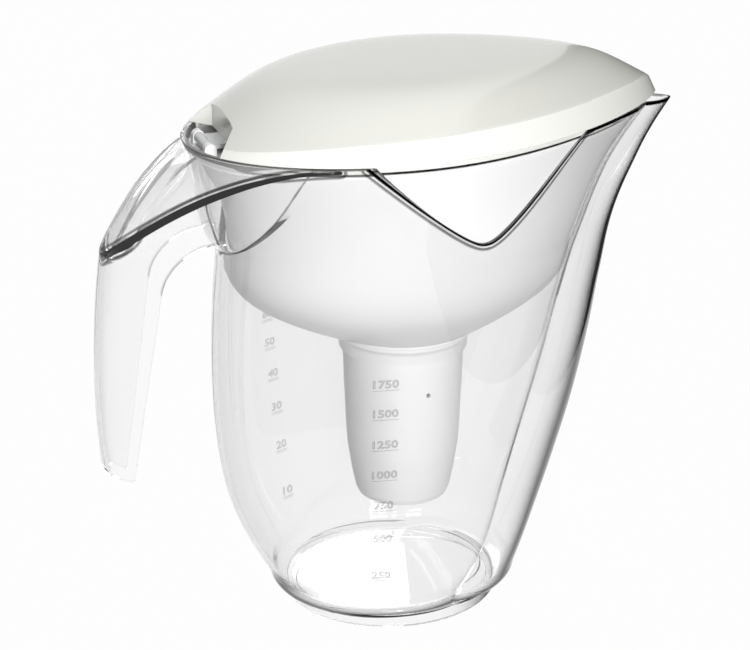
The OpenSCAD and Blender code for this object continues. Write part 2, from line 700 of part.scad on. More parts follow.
// Slots in the bottom, as spokes round the axis
slot_width = 2;
module outlets() {
    for (i = [0:outlet_slots - 1])
        translate([cartridge_axis, 0, cartridge_bottom - 1])
            rotate([0, 0, 360 / outlet_slots * i])
                translate([8, -slot_width / 2, 0])
                    cube([cartridge_foot - 14, slot_width, cartridge_wall + 2]);
}
air_hole_height = 118;
module air_passage() {
    translate([cartridge_axis, 0, air_hole_height])
        rotate([90, 0, air_hole_turn])
            cylinder(r = air_hole, h = cartridge_radius + 2);
}
air_hole_turn = 6;

// The cap stands in the housing's mouth, on its flange
cap_height = 9;
cap_lip = 1.6;
cap_wall = 1.8;
cap_radius = cartridge_radius + flange_width - 1;
plug_radius = inner_radius_at_top - 0.2;
plug_depth = 4;
bar_height = 9;
module cartridge_cap() {
    color(white_plastic) difference() {
        union() {
            turned()
                translate([0, cartridge_top])
                    polygon([
                        [0, cap_height], [12, cap_height - 0.4], [22, cap_height - 2],
                        [cap_radius - 4.5, cap_height - 5], [cap_radius - 1.5, cap_lip + 1],
                        [cap_radius, cap_lip], [cap_radius, 0], [plug_radius, 0],
                        [plug_radius, -plug_depth], [plug_radius - cap_wall, -plug_depth],
                        [plug_radius - cap_wall, 2],
                        [20, cap_height - 2 - cap_wall], [0, cap_height - cap_wall]]);
            pull_bar();
        }
        inlets();
    }
}
module pull_bar() {
    translate([cartridge_axis, 0, cartridge_top + cap_height - 1])
        difference() {
            rotate([90, 0, 0])
                linear_extrude(3, center = true)
                    polygon([[-13, 0], [13, 0], [10, bar_height], [-10, bar_height]]);
            rotate([90, 0, 0])
                linear_extrude(5, center = true)
                    polygon([[-9.5, 1.8], [9.5, 1.8], [8, bar_height - 2.4], [-8, bar_height - 2.4]]);
        }
}
module inlets() {
    for (i = [0:cap_slots - 1])
        translate([cartridge_axis, 0, cartridge_top + cap_lip + 1.4])
            rotate([0, 0, 360 / cap_slots * (i + 0.5)])
                translate([15, -0.9, 0])
                    cube([12, 1.8, cap_height + 2]);
}

module cartridge_seal() {
    color(seal_rubber) turned()
        translate([cartridge_radius, 0])
            polygon([
                [0.1, ledge_height + seal_gap], [flange_width - 0.6, ledge_height + seal_gap],
                [flange_width - 0.2, flange_height], [0.1, flange_height]]);
}

// Screens and media fill the housing between the cap's plug and the bottom
screen_thickness = 0.8;
screen_gap = 0.1;
upper_screen_height = cartridge_top - 8;
module upper_screen() {
    color(screen_mesh) turned()
        translate([0, upper_screen_height])
            square([inner_radius_at_top - screen_gap, screen_thickness]);
}
module lower_screen() {
    color(screen_mesh) turned()
        translate([0, bottom_inside])
            square([cartridge_foot - cartridge_wall - screen_gap, screen_thickness]);
}
module filter_media() {
    low = bottom_inside + screen_thickness;
    color(black_granules) turned()
        polygon(concat(
            [[0, low], [0, upper_screen_height], [inner_radius_at_top - screen_gap, upper_screen_height]],
            [for (p = shell_profile(cartridge_wall + screen_gap)) if (p[1] < upper_screen_height - 1) p],
            [[cartridge_foot - cartridge_wall - screen_gap, low]]));
}

jug();
funnel();
lid();
hinge_tongue();
cartridge_housing();
cartridge_cap();
cartridge_seal();
upper_screen();
filter_media();
lower_screen();
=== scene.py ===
"""Looks of a clear water filter pitcher with a flip lid.

A clear jug with a pouring lobe, a hood and a hollow grip carries a white funnel, a cream
lid and a round filter cartridge. The classes give their sizes in millimetres, which become
metres only where a mesh is made.
"""
from __future__ import annotations

import logging
import math
from dataclasses import dataclass, field
from enum import Enum
from functools import cached_property

import bpy
import numpy as np
from mathutils import Matrix, Vector

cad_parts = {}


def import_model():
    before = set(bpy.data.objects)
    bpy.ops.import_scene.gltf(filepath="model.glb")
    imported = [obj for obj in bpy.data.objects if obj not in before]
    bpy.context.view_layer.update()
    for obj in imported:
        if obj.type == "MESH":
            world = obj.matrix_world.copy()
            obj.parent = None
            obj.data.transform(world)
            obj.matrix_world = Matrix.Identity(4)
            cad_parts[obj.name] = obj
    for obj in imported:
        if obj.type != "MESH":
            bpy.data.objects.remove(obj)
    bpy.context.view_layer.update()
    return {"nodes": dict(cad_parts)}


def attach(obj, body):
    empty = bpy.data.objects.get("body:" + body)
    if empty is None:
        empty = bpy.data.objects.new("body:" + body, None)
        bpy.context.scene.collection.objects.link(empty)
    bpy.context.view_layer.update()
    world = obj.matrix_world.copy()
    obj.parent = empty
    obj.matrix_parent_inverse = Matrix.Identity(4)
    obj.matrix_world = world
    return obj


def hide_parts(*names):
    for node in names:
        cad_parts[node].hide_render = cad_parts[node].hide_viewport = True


LOG = logging.getLogger("pitcher")
MM = 0.001
SEEN = ("Is Camera Ray", "Is Glossy Ray", "Is Transmission Ray")
Array = np.ndarray


# ---- Small formulas -------------------------------------------------------

def mix(a: Array | float, b: Array | float, t: Array | float) -> Array | float:
    """Goes from a to b as t goes from 0 to 1: a + (b - a) t."""
    return a + (b - a) * t


def ease(t: Array | float) -> Array:
    """Smooth step 3t^2 - 2t^3 of t held between 0 and 1."""
    c = np.clip(t, 0.0, 1.0)
    return c * c * (3.0 - 2.0 * c)


@dataclass(frozen=True)
class Ramp:
    """Smooth step that leaves 0 at its start and reaches 1 after its run."""

    start: float
    run: float

    def __call__(self, x: Array) -> Array:
        """Value at x."""
        return ease((x - self.start) / self.run)


def through(points: list[list[float]], count: int) -> Array:
    """Smooth line through given points: on each stretch a cubic whose end slopes are half the
    step between the neighbours.

    Args:
        points: The points, one row each.
        count: How many points the line gets.

    Returns:
        The line's points, count rows.
    """
    p = np.asarray(points, float)
    p = np.concatenate([[2 * p[0] - p[1]], p, [2 * p[-1] - p[-2]]])
    s = np.linspace(0.0, len(points) - 1 - 1e-9, count)
    k = s.astype(int)
    t = (s - k)[:, None]
    a, b, c, d = p[k], p[k + 1], p[k + 2], p[k + 3]
    return 0.5 * (2 * b + (c - a) * t + (2 * a - 5 * b + 4 * c - d) * t ** 2
                  + (3 * b - a - 3 * c + d) * t ** 3)


def quarter(count: int, ends: bool = True) -> Array:
    """Angles of a quarter turn in even steps, with or without the last one."""
    return np.linspace(0, math.pi / 2, count, endpoint=ends)


def spread(*coordinates: Array | float) -> Array:
    """Points from coordinates that are broadcast against each other."""
    return np.stack(np.broadcast_arrays(*coordinates), -1)


def direction(turn: float, rise: float) -> Array:
    """Unit vector (sin a cos e, -cos a cos e, sin e), turned a to the right of the front and
    raised by e, both in radians."""
    return np.array([math.sin(turn) * math.cos(rise), -math.cos(turn) * math.cos(rise),
                     math.sin(rise)])


# ---- Meshes ---------------------------------------------------------------

def rows_of(items: bpy.types.bpy_prop_collection, name: str, kind: type = float) -> Array:
    """Three values of one name for each item of a mesh, one row each."""
    flat = np.empty(len(items) * 3, kind)
    items.foreach_get(name, flat)
    return flat.reshape(-1, 3)


@dataclass
class Skin:
    """Points in millimetres with the four-sided and three-sided faces over them."""

    points: Array
    quads: Array = field(default_factory=lambda: np.zeros((0, 4), int))
    tris: Array = field(default_factory=lambda: np.zeros((0, 3), int))

    @classmethod
    def of(cls, mesh: bpy.types.Mesh, unit: float) -> Skin:
        """The triangles of a mesh whose coordinates are in the given unit."""
        mesh.calc_loop_triangles()
        return cls(rows_of(mesh.vertices, "co") / unit,
                   tris=rows_of(mesh.loop_triangles, "vertices", np.int32))

    def volume(self) -> float:
        """Signed volume: the sum over the triangles of a . (b x c) / 6."""
        t = np.concatenate([self.tris, self.quads[:, [0, 1, 2]], self.quads[:, [0, 2, 3]]])
        a, b, c = (self.points[t[:, k]] for k in range(3))
        return float(np.einsum("ij,ij->i", a, np.cross(b, c)).sum() / 6.0)

    def outward(self) -> Skin:
        """Turns the faces over if they point inwards."""
        if self.volume() < 0:
            self.quads, self.tris = self.quads[:, ::-1], self.tris[:, ::-1]
        return self

    def joined(self, other: Skin) -> Skin:
        """The two skins as one, without welding them."""
        n = len(self.points)
        return Skin(np.concatenate([self.points, other.points]),
                    np.concatenate([self.quads, other.quads + n]),
                    np.concatenate([self.tris, other.tris + n]))

    def piece(self, name: str, sharp_above: float = 32.0) -> bpy.types.Object:
        """Makes the mesh object in the scene.

        Args:
            name: The piece's name.
            sharp_above: Edges that turn by more degrees than this stay sharp.

        Returns:
            The new object, at the origin, in metres.
        """
        mesh = bpy.data.meshes.new(name)
        mesh.from_pydata(self.points * MM, [], self.quads.tolist() + self.tris.tolist())
        mesh.validate()
        return placed(name, mesh, sharp_above)


def placed(name: str, mesh: bpy.types.Mesh, sharp_above: float) -> bpy.types.Object:
    """Puts a mesh in the scene with smooth faces and sharp edges above an angle."""
    mesh.shade_smooth()
    mesh.set_sharp_from_angle(angle=math.radians(sharp_above))
    made = bpy.data.objects.new(name, mesh)
    bpy.context.scene.collection.objects.link(made)
    return made


def wear(piece: bpy.types.Object, material: bpy.types.Material) -> None:
    """Gives a piece one material and no other."""
    piece.data.materials.clear()
    piece.data.materials.append(material)


def grid_quads(rows: int, columns: int, round_rows: bool = False) -> Array:
    """Faces of a grid of points that is stored row by row, each row closed on itself.

    Args:
        rows: Number of rows.
        columns: Points in each row.
        round_rows: Whether the last row joins the first.

    Returns:
        One row of four point numbers for each face.
    """
    i = np.arange(rows if round_rows else rows - 1)[:, None]
    j = np.arange(columns)[None, :]
    k, m = (i + 1) % rows, (j + 1) % columns
    return spread(i * columns + j, i * columns + m, k * columns + m, k * columns + j).reshape(-1, 4)


def vessel(rings: Array, first: list[float], last: list[float]) -> Skin:
    """Closed skin over rings that starts and ends in a middle point."""
    rows, columns = rings.shape[:2]
    n = rows * columns
    j = np.arange(columns)
    k = (j + 1) % columns
    low = np.stack([np.full(columns, n), k, j], -1)
    high = np.stack([np.full(columns, n + 1), n - columns + j, n - columns + k], -1)
    return Skin(np.concatenate([rings.reshape(-1, 3), [first], [last]]),
                grid_quads(rows, columns), np.concatenate([low, high])).outward()


def hoop(rings: Array) -> Skin:
    """Closed skin over rings of which the last joins the first, as round a tube's wall."""
    rows, columns = rings.shape[:2]
    return Skin(rings.reshape(-1, 3), grid_quads(rows, columns, round_rows=True)).outward()


def sheet(outer: Array, inner: Array) -> Skin:
    """Closed skin of a sheet between an outer and an inner grid of points."""
    loops = np.concatenate([outer, inner[:, ::-1]], axis=1)
    rows, columns = loops.shape[:2]
    j = np.arange(outer.shape[1] - 1)
    cap = np.stack([j, j + 1, columns - 2 - j, columns - 1 - j], -1)
    ends = np.concatenate([cap[:, ::-1], cap + (rows - 1) * columns])
    body = grid_quads(rows, columns)
    return Skin(loops.reshape(-1, 3), np.concatenate([body, ends])).outward()


def turned(profile: Array, middle: float, count: int = 160) -> Skin:
    """Turns a closed profile of [radius, height] round an upright axis.

    Args:
        profile: Points of the profile, in order; none lies on the axis.
        middle: Distance of the axis in front of the origin.
        count: Steps round the axis.

    Returns:
        The closed skin: x = middle + r cos a, y = r sin a.
    """
    a = np.linspace(0.0, 2 * math.pi, count, endpoint=False)[None, :]
    r, z = profile[:, :1], profile[:, 1:]
    return hoop(spread(middle + r * np.cos(a), r * np.sin(a), z))


def prism(outline: Array, low: float, high: float) -> Skin:
    """Upright block over a flat outline that is star-shaped round its middle."""
    rings = np.stack([np.c_[outline, np.full(len(outline), z)] for z in (low, high)])
    middle = outline.mean(axis=0)
    return vessel(rings, [*middle, low], [*middle, high])


class Step(Enum):
    """How a skin joins the one before it."""

    ADD = "UNION"
    TAKE = "DIFFERENCE"


def combined(name: str, base: Skin, *steps: tuple[Step, Skin],
             sharp_above: float = 32.0) -> bpy.types.Object:
    """Adds skins to a base or takes them away from it.

    Args:
        name: The new piece's name.
        base: The skin to start from.
        steps: Each way of joining with its skin, in order.
        sharp_above: Edges that turn by more degrees than this stay sharp.

    Returns:
        The new object, one closed mesh.
    """
    body = base.piece(name + "_base")
    tools = [skin.piece(name + "_tool") for _, skin in steps]
    for (way, _), tool in zip(steps, tools):
        change = body.modifiers.new("join", "BOOLEAN")
        change.operation, change.object, change.solver = way.value, tool, "MANIFOLD"
    bpy.context.view_layer.update()
    graph = bpy.context.evaluated_depsgraph_get()
    mesh = bpy.data.meshes.new_from_object(body.evaluated_get(graph))
    mesh.name = name
    for extra in (body, *tools):
        old = extra.data
        bpy.data.objects.remove(extra)
        bpy.data.meshes.remove(old)
    return placed(name, mesh, sharp_above)


# ---- Shader maths ---------------------------------------------------------

@dataclass(frozen=True)
class Wire:
    """One output socket, with the operators that the finishes use."""

    book: Book
    socket: bpy.types.NodeSocket

    def maths(self, operation: str, *values: Wire | float) -> Wire:
        """A Math node on the values, in order."""
        return self.book.add("ShaderNodeMath", {"operation": operation}, dict(enumerate(values)))

    def __add__(self, other: Wire | float) -> Wire:
        """Sum."""
        return self.maths("ADD", self, other)

    def __sub__(self, other: Wire | float) -> Wire:
        """Difference."""
        return self.maths("SUBTRACT", self, other)

    def __mul__(self, other: Wire | float) -> Wire:
        """Product."""
        return self.maths("MULTIPLY", self, other)

    def __rsub__(self, other: float) -> Wire:
        """Difference from a number."""
        return self.maths("SUBTRACT", other, self)

    __radd__, __rmul__ = __add__, __mul__

    def larger(self, other: Wire | float) -> Wire:
        """The larger of the two."""
        return self.maths("MAXIMUM", self, other)


class Book:
    """The nodes of one material or world."""

    def __init__(self, owner: bpy.types.Material | bpy.types.World) -> None:
        """Empties the owner's node tree."""
        owner.use_nodes = True
        self.tree = owner.node_tree
        self.tree.nodes.clear()

    def add(self, kind: str, settings: dict[str, object], inputs: dict[str | int, object],
            output: str | int = 0) -> Wire:
        """Adds a node.

        Args:
            kind: The node's type.
            settings: What is set on the node itself, first.
            inputs: The value or the wire of each named or numbered socket.
            output: The socket that comes back.

        Returns:
            The wire of the output socket.
        """
        node = self.tree.nodes.new(kind)
        for name, value in settings.items():
            if name == "stops":
                self.ramp(node, value)
            else:
                setattr(node, name, value)
        for name, value in inputs.items():
            if isinstance(value, Wire):
                self.tree.links.new(value.socket, node.inputs[name])
            else:
                node.inputs[name].default_value = value
        return Wire(self, node.outputs[output]) if len(node.outputs) else Wire(self, None)

    @staticmethod
    def ramp(node: bpy.types.Node, stops: list[tuple[float, tuple[float, ...]]]) -> None:
        """Sets the stops of a colour ramp."""
        elements = node.color_ramp.elements
        while len(elements) < len(stops):
            elements.new(0.5)
        for element, (place, colour) in zip(elements, stops):
            element.position, element.color = place, colour

    def value(self, name: str) -> Wire:
        """A number that the mesh carries."""
        return self.add("ShaderNodeAttribute", {"attribute_name": name}, {}, "Fac")

    def noise(self, size: float, detail: float) -> Wire:
        """Noise whose grains are about the given size in millimetres, between 0 and 1."""
        place = self.add("ShaderNodeTexCoord", {}, {}, "Object")
        return self.add("ShaderNodeTexNoise", {}, {"Vector": place, "Scale": 1.0 / (size * MM),
                                                   "Detail": detail}, "Fac")

    def blend(self, share: Wire, a: Wire | tuple[float, ...], b: Wire | tuple[float, ...]) -> Wire:
        """Colour between a (share 0) and b (share 1)."""
        a, b = (c if isinstance(c, Wire) else (*c, 1.0) for c in (a, b))
        return self.add("ShaderNodeMix", {"data_type": "RGBA"}, {0: share, 6: a, 7: b}, 2)

    def paths(self, *names: str) -> Wire:
        """1 for any of the named kinds of light path, otherwise 0."""
        found = [self.add("ShaderNodeLightPath", {}, {}, name) for name in names]
        total = found[0]
        for other in found[1:]:
            total = total.larger(other)
        return total

    def bump(self, height: Wire, strength: float, distance: float) -> Wire:
        """Bump from a height, with its depth in millimetres."""
        return self.add("ShaderNodeBump", {}, {"Height": height, "Strength": strength,
                                               "Distance": distance * MM})

    def surface(self, shader: Wire, volume: Wire | None = None) -> None:
        """Sends the shader, and the volume if there is one, to the output."""
        inputs = {"Surface": shader} if volume is None else {"Surface": shader, "Volume": volume}
        self.add("ShaderNodeOutputMaterial", {}, inputs)


# ---- Finishes -------------------------------------------------------------

@dataclass(frozen=True)
class ClearPlastic:
    """Clear moulded plastic, with faint flow waves, a grey depth and painted dark edges: dark lines
    along its edges and a darkening at grazing angles, painted into its colour, stand in for the
    dark surroundings that the edges reflect and bend, a painted reflection.

    The mesh carries the distances in millimetres from two kinds of painted edge line and how dark
    each line is, the share by which the painted grazing shade darkens, and the share of milky haze.
    """

    name: str = "clear_plastic"
    bending: float = 1.49
    depth_tint: float = 16.0
    # Colours that the glass darkens to at grazing angles and along the edge lines: painted shade.
    grazing_shade_colour: float = 0.0
    slant_start: float = 0.2
    slant_end: float = 0.66
    painted_line_colour: float = 0.0
    haze_colour: float = 0.78
    wave: float = 38.0
    wave_height: float = 0.05
    reach: float = 4.0
    # Profiles of the painted dark edge lines: a double line with a pale gap between, and a single
    # line.
    double_stops: tuple[tuple[float, float], ...] = (
        (0.0, 1.0), (0.9, 1.0), (1.2, 0.05), (1.7, 0.05), (2.0, 0.95), (3.0, 0.9), (3.7, 0.0))
    single_stops: tuple[tuple[float, float], ...] = ((0.0, 1.0), (0.55, 1.0), (1.2, 0.0))

    def line(self, book: Book, kind: str, profile: tuple[tuple[float, float], ...]) -> Wire:
        """How dark one kind of painted edge line makes a point: its profile over the distance."""
        gap, shade = book.value(kind + "_gap"), book.value(kind + "_shade")
        stops = [(place / self.reach, (dark, dark, dark, 1.0)) for place, dark in profile]
        ramp = book.add("ShaderNodeValToRGB", {"stops": stops}, {"Fac": gap * (1 / self.reach)})
        return ramp * shade

    def make(self) -> bpy.types.Material:
        """Builds the material: light bends through it, shadows pass it, and its colour carries the
        painted dark edge lines and the painted grazing shade.
        """
        made = bpy.data.materials.new(self.name)
        book = Book(made)
        normal = book.bump(book.noise(self.wave, 1.0), 0.12, self.wave_height)
        grazing = book.add("ShaderNodeLayerWeight", {}, {"Blend": 0.5}, "Facing")
        slant = book.add("ShaderNodeMapRange", {"interpolation_type": "SMOOTHSTEP"}, {
            "Value": grazing, "From Min": self.slant_start, "From Max": self.slant_end})
        grazing_share, haze = book.value("grazing_shade"), book.value("haze")
        inside = book.add("ShaderNodeNewGeometry", {}, {}, "Backfacing")
        lines = self.line(book, "double", self.double_stops).larger(
            self.line(book, "single", self.single_stops))
        # Painted shade: the colour darkens at grazing angles as far as the mesh's share says,
        # standing in for dark reflections.
        grazing_shaded = book.blend(slant * grazing_share * (1 - inside), (1.0,) * 3, (self.grazing_shade_colour,) * 3)
        # The painted dark edge lines darken the colour further.
        body = book.add("ShaderNodeBsdfPrincipled", {}, {
            "Base Color": book.blend(lines, grazing_shaded, (self.painted_line_colour,) * 3), "Roughness": 0.0,
            "IOR": self.bending, "Transmission Weight": 1.0, "Normal": normal})
        milk = book.add("ShaderNodeBsdfDiffuse", {}, {"Color": (*(self.haze_colour,) * 3, 1.0)})
        solid = book.add("ShaderNodeMixShader", {}, {0: haze * (1 - lines), 1: body, 2: milk})
        clear = book.add("ShaderNodeBsdfTransparent", {}, {"Color": (0.97, 0.97, 0.97, 1.0)})
        shader = book.add("ShaderNodeMixShader", {}, {
            0: book.paths("Is Shadow Ray", "Is Diffuse Ray"), 1: solid, 2: clear})
        depth = book.add("ShaderNodeVolumeAbsorption", {}, {
            "Color": (0.0, 0.0, 0.0, 1.0), "Density": self.depth_tint})
        book.surface(shader, depth)
        return made


@dataclass(frozen=True)
class Moulded:
    """Opaque moulded plastic: its colour, its gloss and a fine uneven skin."""

    name: str
    colour: tuple[float, float, float]
    roughness: float = 0.3
    coat: float = 0.0
    grain: float = 1.2
    grain_height: float = 0.02
    mottle: float = 0.02
    # A lighter colour painted where the mesh marks it: painted light.
    painted_light: tuple[float, float, float] | None = None

    def make(self) -> bpy.types.Material:
        """Builds the material: colour and gloss vary a little with noise, and where the mesh says
        so a lighter colour takes over, painted light."""
        made = bpy.data.materials.new(self.name)
        book = Book(made)
        cloud = book.noise(24.0, 3.0)
        light = tuple(min(1.0, c * (1 + self.mottle)) for c in self.colour)
        dark = tuple(c * (1 - self.mottle) for c in self.colour)
        colour = book.blend(cloud, dark, light)
        # Painted light: a lighter colour where the mesh marks it.
        if self.painted_light:
            colour = book.blend(book.value("painted_light_mask"), colour, self.painted_light)
        inputs: dict[str | int, object] = {
            "Base Color": colour, "Roughness": cloud * 0.08 + (self.roughness - 0.04),
            "Normal": book.bump(book.noise(self.grain, 2.0), 0.25, self.grain_height),
            "Coat Weight": self.coat, "Coat Roughness": 0.06}
        book.surface(book.add("ShaderNodeBsdfPrincipled", {}, inputs))
        return made


# ---- The jug's body form --------------------------------------------------

@dataclass(frozen=True)
class BodyForm:
    """Sizes of the jug's body and the surface they give."""

    rim_height: float = 255.0
    rim_rear: float = 104.0
    rim_half_width: float = 70.0
    spout_reach: float = 152.3
    spout_drop: float = 3.5
    belly_height: float = 136.0
    belly_half_width: float = 63.8
    belly_rear: float = 91.5
    belly_front: float = 107.0
    base_half_width: float = 54.0
    base_rear: float = 63.0
    base_front: float = 67.5
    lobe_half_width: float = 37.0
    lobe_rim: float = 9.0
    wall: float = 3.0
    edge_radius: float = 11.0
    floor: float = 3.5
    foot_height: float = 3.0
    notch_depth: float = 45.3
    notch_tip: float = 28.5
    notch_rear: float = 32.5
    notch_front: float = 86.0
    notch_round: float = 5.0
    droop_start: float = 107.0
    spout_point: float = 0.6
    barrel_base: float = 54.0
    barrel_belly: float = 85.4
    barrel_rim: float = 144.0
    lobe_base: float = 50.0
    waist_step: float = 4.0
    sharp_from: float = 0.5
    leaf_run: tuple[float, float] = (2.0, 1.8)
    leaf_power: tuple[float, float] = (0.5, 0.8)
    pocket_from: float = 0.52
    pocket_fade: float = 0.72
    pocket_run: float = 13.0
    pocket_width: float = 58.0
    least_pocket: float = 5.0
    pocket_columns: int = 14
    rear_columns: tuple[int, int] = (12, 20)
    side_columns: tuple[int, int, int] = (17, 34, 12)
    lobe_columns: int = 30
    rim_tries: int = 14

    @property
    def base_height(self) -> float:
        """Height at which the rounded bottom edge ends."""
        return self.foot_height + self.edge_radius

    @property
    def waist_rear(self) -> float:
        """Distance of the body's rear from the origin at the waist."""
        return self.belly_rear - self.waist_step

    def low(self, t: float) -> float:
        """Height between the base and the belly."""
        return mix(self.base_height, self.belly_height, t)

    def high(self, t: float) -> float:
        """Height between the belly and the rim."""
        return mix(self.belly_height, self.rim_height, t)

    @cached_property
    def rows(self) -> Array:
        """Levels of the body: height, rear, place of the widest point, half width, front of the
        plain barrel, half width of the lobe, front of the lobe."""
        lobe_front = self.spout_reach + 0.75 * self.spout_drop
        low = [(0, 0, 0, 0, 0, 0, 0), (0.216, 0.5, 0, 0.31, 0.17, 0.615, 0.278),
               (0.432, 0.81, 1, 0.56, 0.34, 0.846, 0.528),
               (0.712, 0.97, 1, 0.82, 0.66, 0.92, 0.797), (1, 1, 2, 1, 1, 1, 1)]
        high = [(0.277, -mix(self.belly_rear, self.waist_rear, 0.38), 2.5,
                 0.19, 0.137, 0.107, 0.124),
                (0.538, -self.waist_rear, 3, 0.39, 0.3, 0.286, 0.271),
                (0.756, -mix(self.waist_rear, self.rim_rear, 0.15), 4,
                 0.6, 0.57, 0.571, 0.552),
                (1, -self.rim_rear, 5, 1, 1, 1, 1)]
        return np.array(
            [[self.low(z), -mix(self.base_rear, self.belly_rear, rear), wide,
              mix(self.base_half_width, self.belly_half_width, side),
              mix(self.barrel_base, self.barrel_belly, barrel),
              mix(self.lobe_base, self.lobe_half_width, lobe),
              mix(self.base_front, self.belly_front, front)]
             for z, rear, wide, side, barrel, lobe, front in low]
            + [[self.high(z), rear, wide,
                mix(self.belly_half_width, self.rim_half_width, side),
                mix(self.barrel_belly, self.barrel_rim, barrel),
                mix(self.lobe_half_width, self.lobe_rim, lobe),
                mix(self.belly_front, lobe_front, front)]
               for z, rear, wide, side, barrel, lobe, front in high])

    def curve(self, z: Array, column: int) -> Array:
        """Smooth curve through one column of the rows: a cubic between neighbouring rows whose
        slopes are those between the rows on each side."""
        rows, last = self.rows, len(self.rows) - 1
        k = np.searchsorted(rows[1:-1, 0], z, side="right")
        a, b = np.maximum(np.arange(last + 1) - 1, 0), np.minimum(np.arange(last + 1) + 1, last)
        slope = (rows[b, column] - rows[a, column]) / (rows[b, 0] - rows[a, 0])
        h = rows[k + 1, 0] - rows[k, 0]
        t = (z - rows[k, 0]) / h
        return (rows[k, column] * (1 + 2 * t) * (1 - t) ** 2
                + rows[k + 1, column] * t ** 2 * (3 - 2 * t)
                + h * slope[k] * t * (1 - t) ** 2 - h * slope[k + 1] * t ** 2 * (1 - t))

    def level(self, z: Array, inset: Array | float) -> tuple[Array, ...]:
        """Rear, widest place, half width, barrel front, lobe half width and lobe front at a
        height, with a wall taken off all round."""
        return (self.curve(z, 1) + inset, self.curve(z, 2), self.curve(z, 3) - inset,
                self.curve(z, 4) - inset, self.curve(z, 5) - inset, self.curve(z, 6) - inset)

    def sharpness(self, z: Array) -> Array:
        """How far the front of an outline has turned from an ellipse (0) to a leaf's point (1)."""
        start = self.high(self.sharp_from)
        return ease((z - start) / (self.rim_height - start))

    def half_width_at(self, t: Array, side: Array, z: Array) -> Array:
        """Half width at share t of the way from the widest place to the front."""
        sharp = self.sharpness(z)
        power = mix(*self.leaf_power, sharp)
        return side * np.clip(1 - t ** mix(*self.leaf_run, sharp), 0, None) ** power

    def reach_at(self, share: Array, z: Array) -> Array:
        """Share of the way to the front at which the half width has the given share."""
        sharp = self.sharpness(z)
        return (1 - share ** (1 / mix(*self.leaf_power, sharp))) ** (1 / mix(*self.leaf_run, sharp))

    @property
    def pocket_start(self) -> float:
        """Height of the pocket's lower end."""
        return self.high(self.pocket_from)

    def pocket_rise(self, z: Array) -> Array:
        """Share of the way from the pocket's lower end to the rim."""
        return np.clip((z - self.pocket_start) / (self.rim_height - self.pocket_start), 0, 1)

    def pocket_depth(self, z: Array) -> Array:
        """How far the pocket stands out: it rises over 8 mm and dies out near the rim."""
        fade = self.high(self.pocket_fade)
        return ease((z - self.pocket_start + 2) / 8) * (
            1 - ease((z - fade) / (self.rim_height - fade)))

    def pocket_back(self, z: Array) -> Array:
        """x of the pocket's back, which leans out to the rim's rear."""
        return -self.rim_rear + self.pocket_run * (1 - self.pocket_rise(z)) ** 1.4

    def pocket_angle(self, z: Array, side: Array) -> Array:
        """Angle of the rear arc at which the pocket meets it."""
        width = self.pocket_width * self.pocket_rise(z) ** 0.45
        return np.arcsin(np.maximum(self.least_pocket, width) / side)

    def shares(self, start: float, stop: float, count: int, bend: float = 1.0) -> Array:
        """Shares from start up to, but not at, stop: more of them near start if bend is above 1."""
        return mix(start, stop, np.linspace(0, 1, count, endpoint=False) ** bend)

    @cached_property
    def columns(self) -> tuple[Array, Array]:
        """Shares of the rear arc and of the side at which the columns of points stand, closer
        together at the tip of the V."""
        rim, low = np.array(self.rim_height), np.array(self.rim_height - self.notch_depth)
        s = self.level(rim, 0.0)
        a = self.pocket_angle(rim, s[2])
        rear_end = (math.acos((s[1] + self.notch_rear) / (s[1] - s[0])) - a) / (math.pi / 2 - a)

        def share(x: float, z: Array) -> float:
            """Share of the side at which a point stands at x."""
            v = self.level(z, 0.0)
            return math.asin((x - v[1]) / (v[3] - v[1])) / math.asin(self.reach_at(v[4] / v[2], z))

        tip, front = share(self.notch_tip, low), share(self.notch_front, rim)
        to_tip, to_front, to_lobe = self.side_columns
        before = tip - self.shares(0, tip, to_tip, 1.5)[::-1]
        side = np.concatenate([before[before < tip - 1e-9], self.shares(tip, front, to_front, 1.4),
                               self.shares(front, 1, to_lobe)])
        side[0] = 0.0
        rear = np.concatenate([self.shares(0, rear_end, self.rear_columns[0]),
                               self.shares(rear_end, 1, self.rear_columns[1])])
        return rear, side

    def arc(self, s: tuple[Array, ...], angle: Array) -> tuple[Array, Array]:
        """Point of the rear arc: x = widest - (widest - rear) cos a, y = half width sin a."""
        return s[1] - (s[1] - s[0]) * np.cos(angle), s[2] * np.sin(angle)

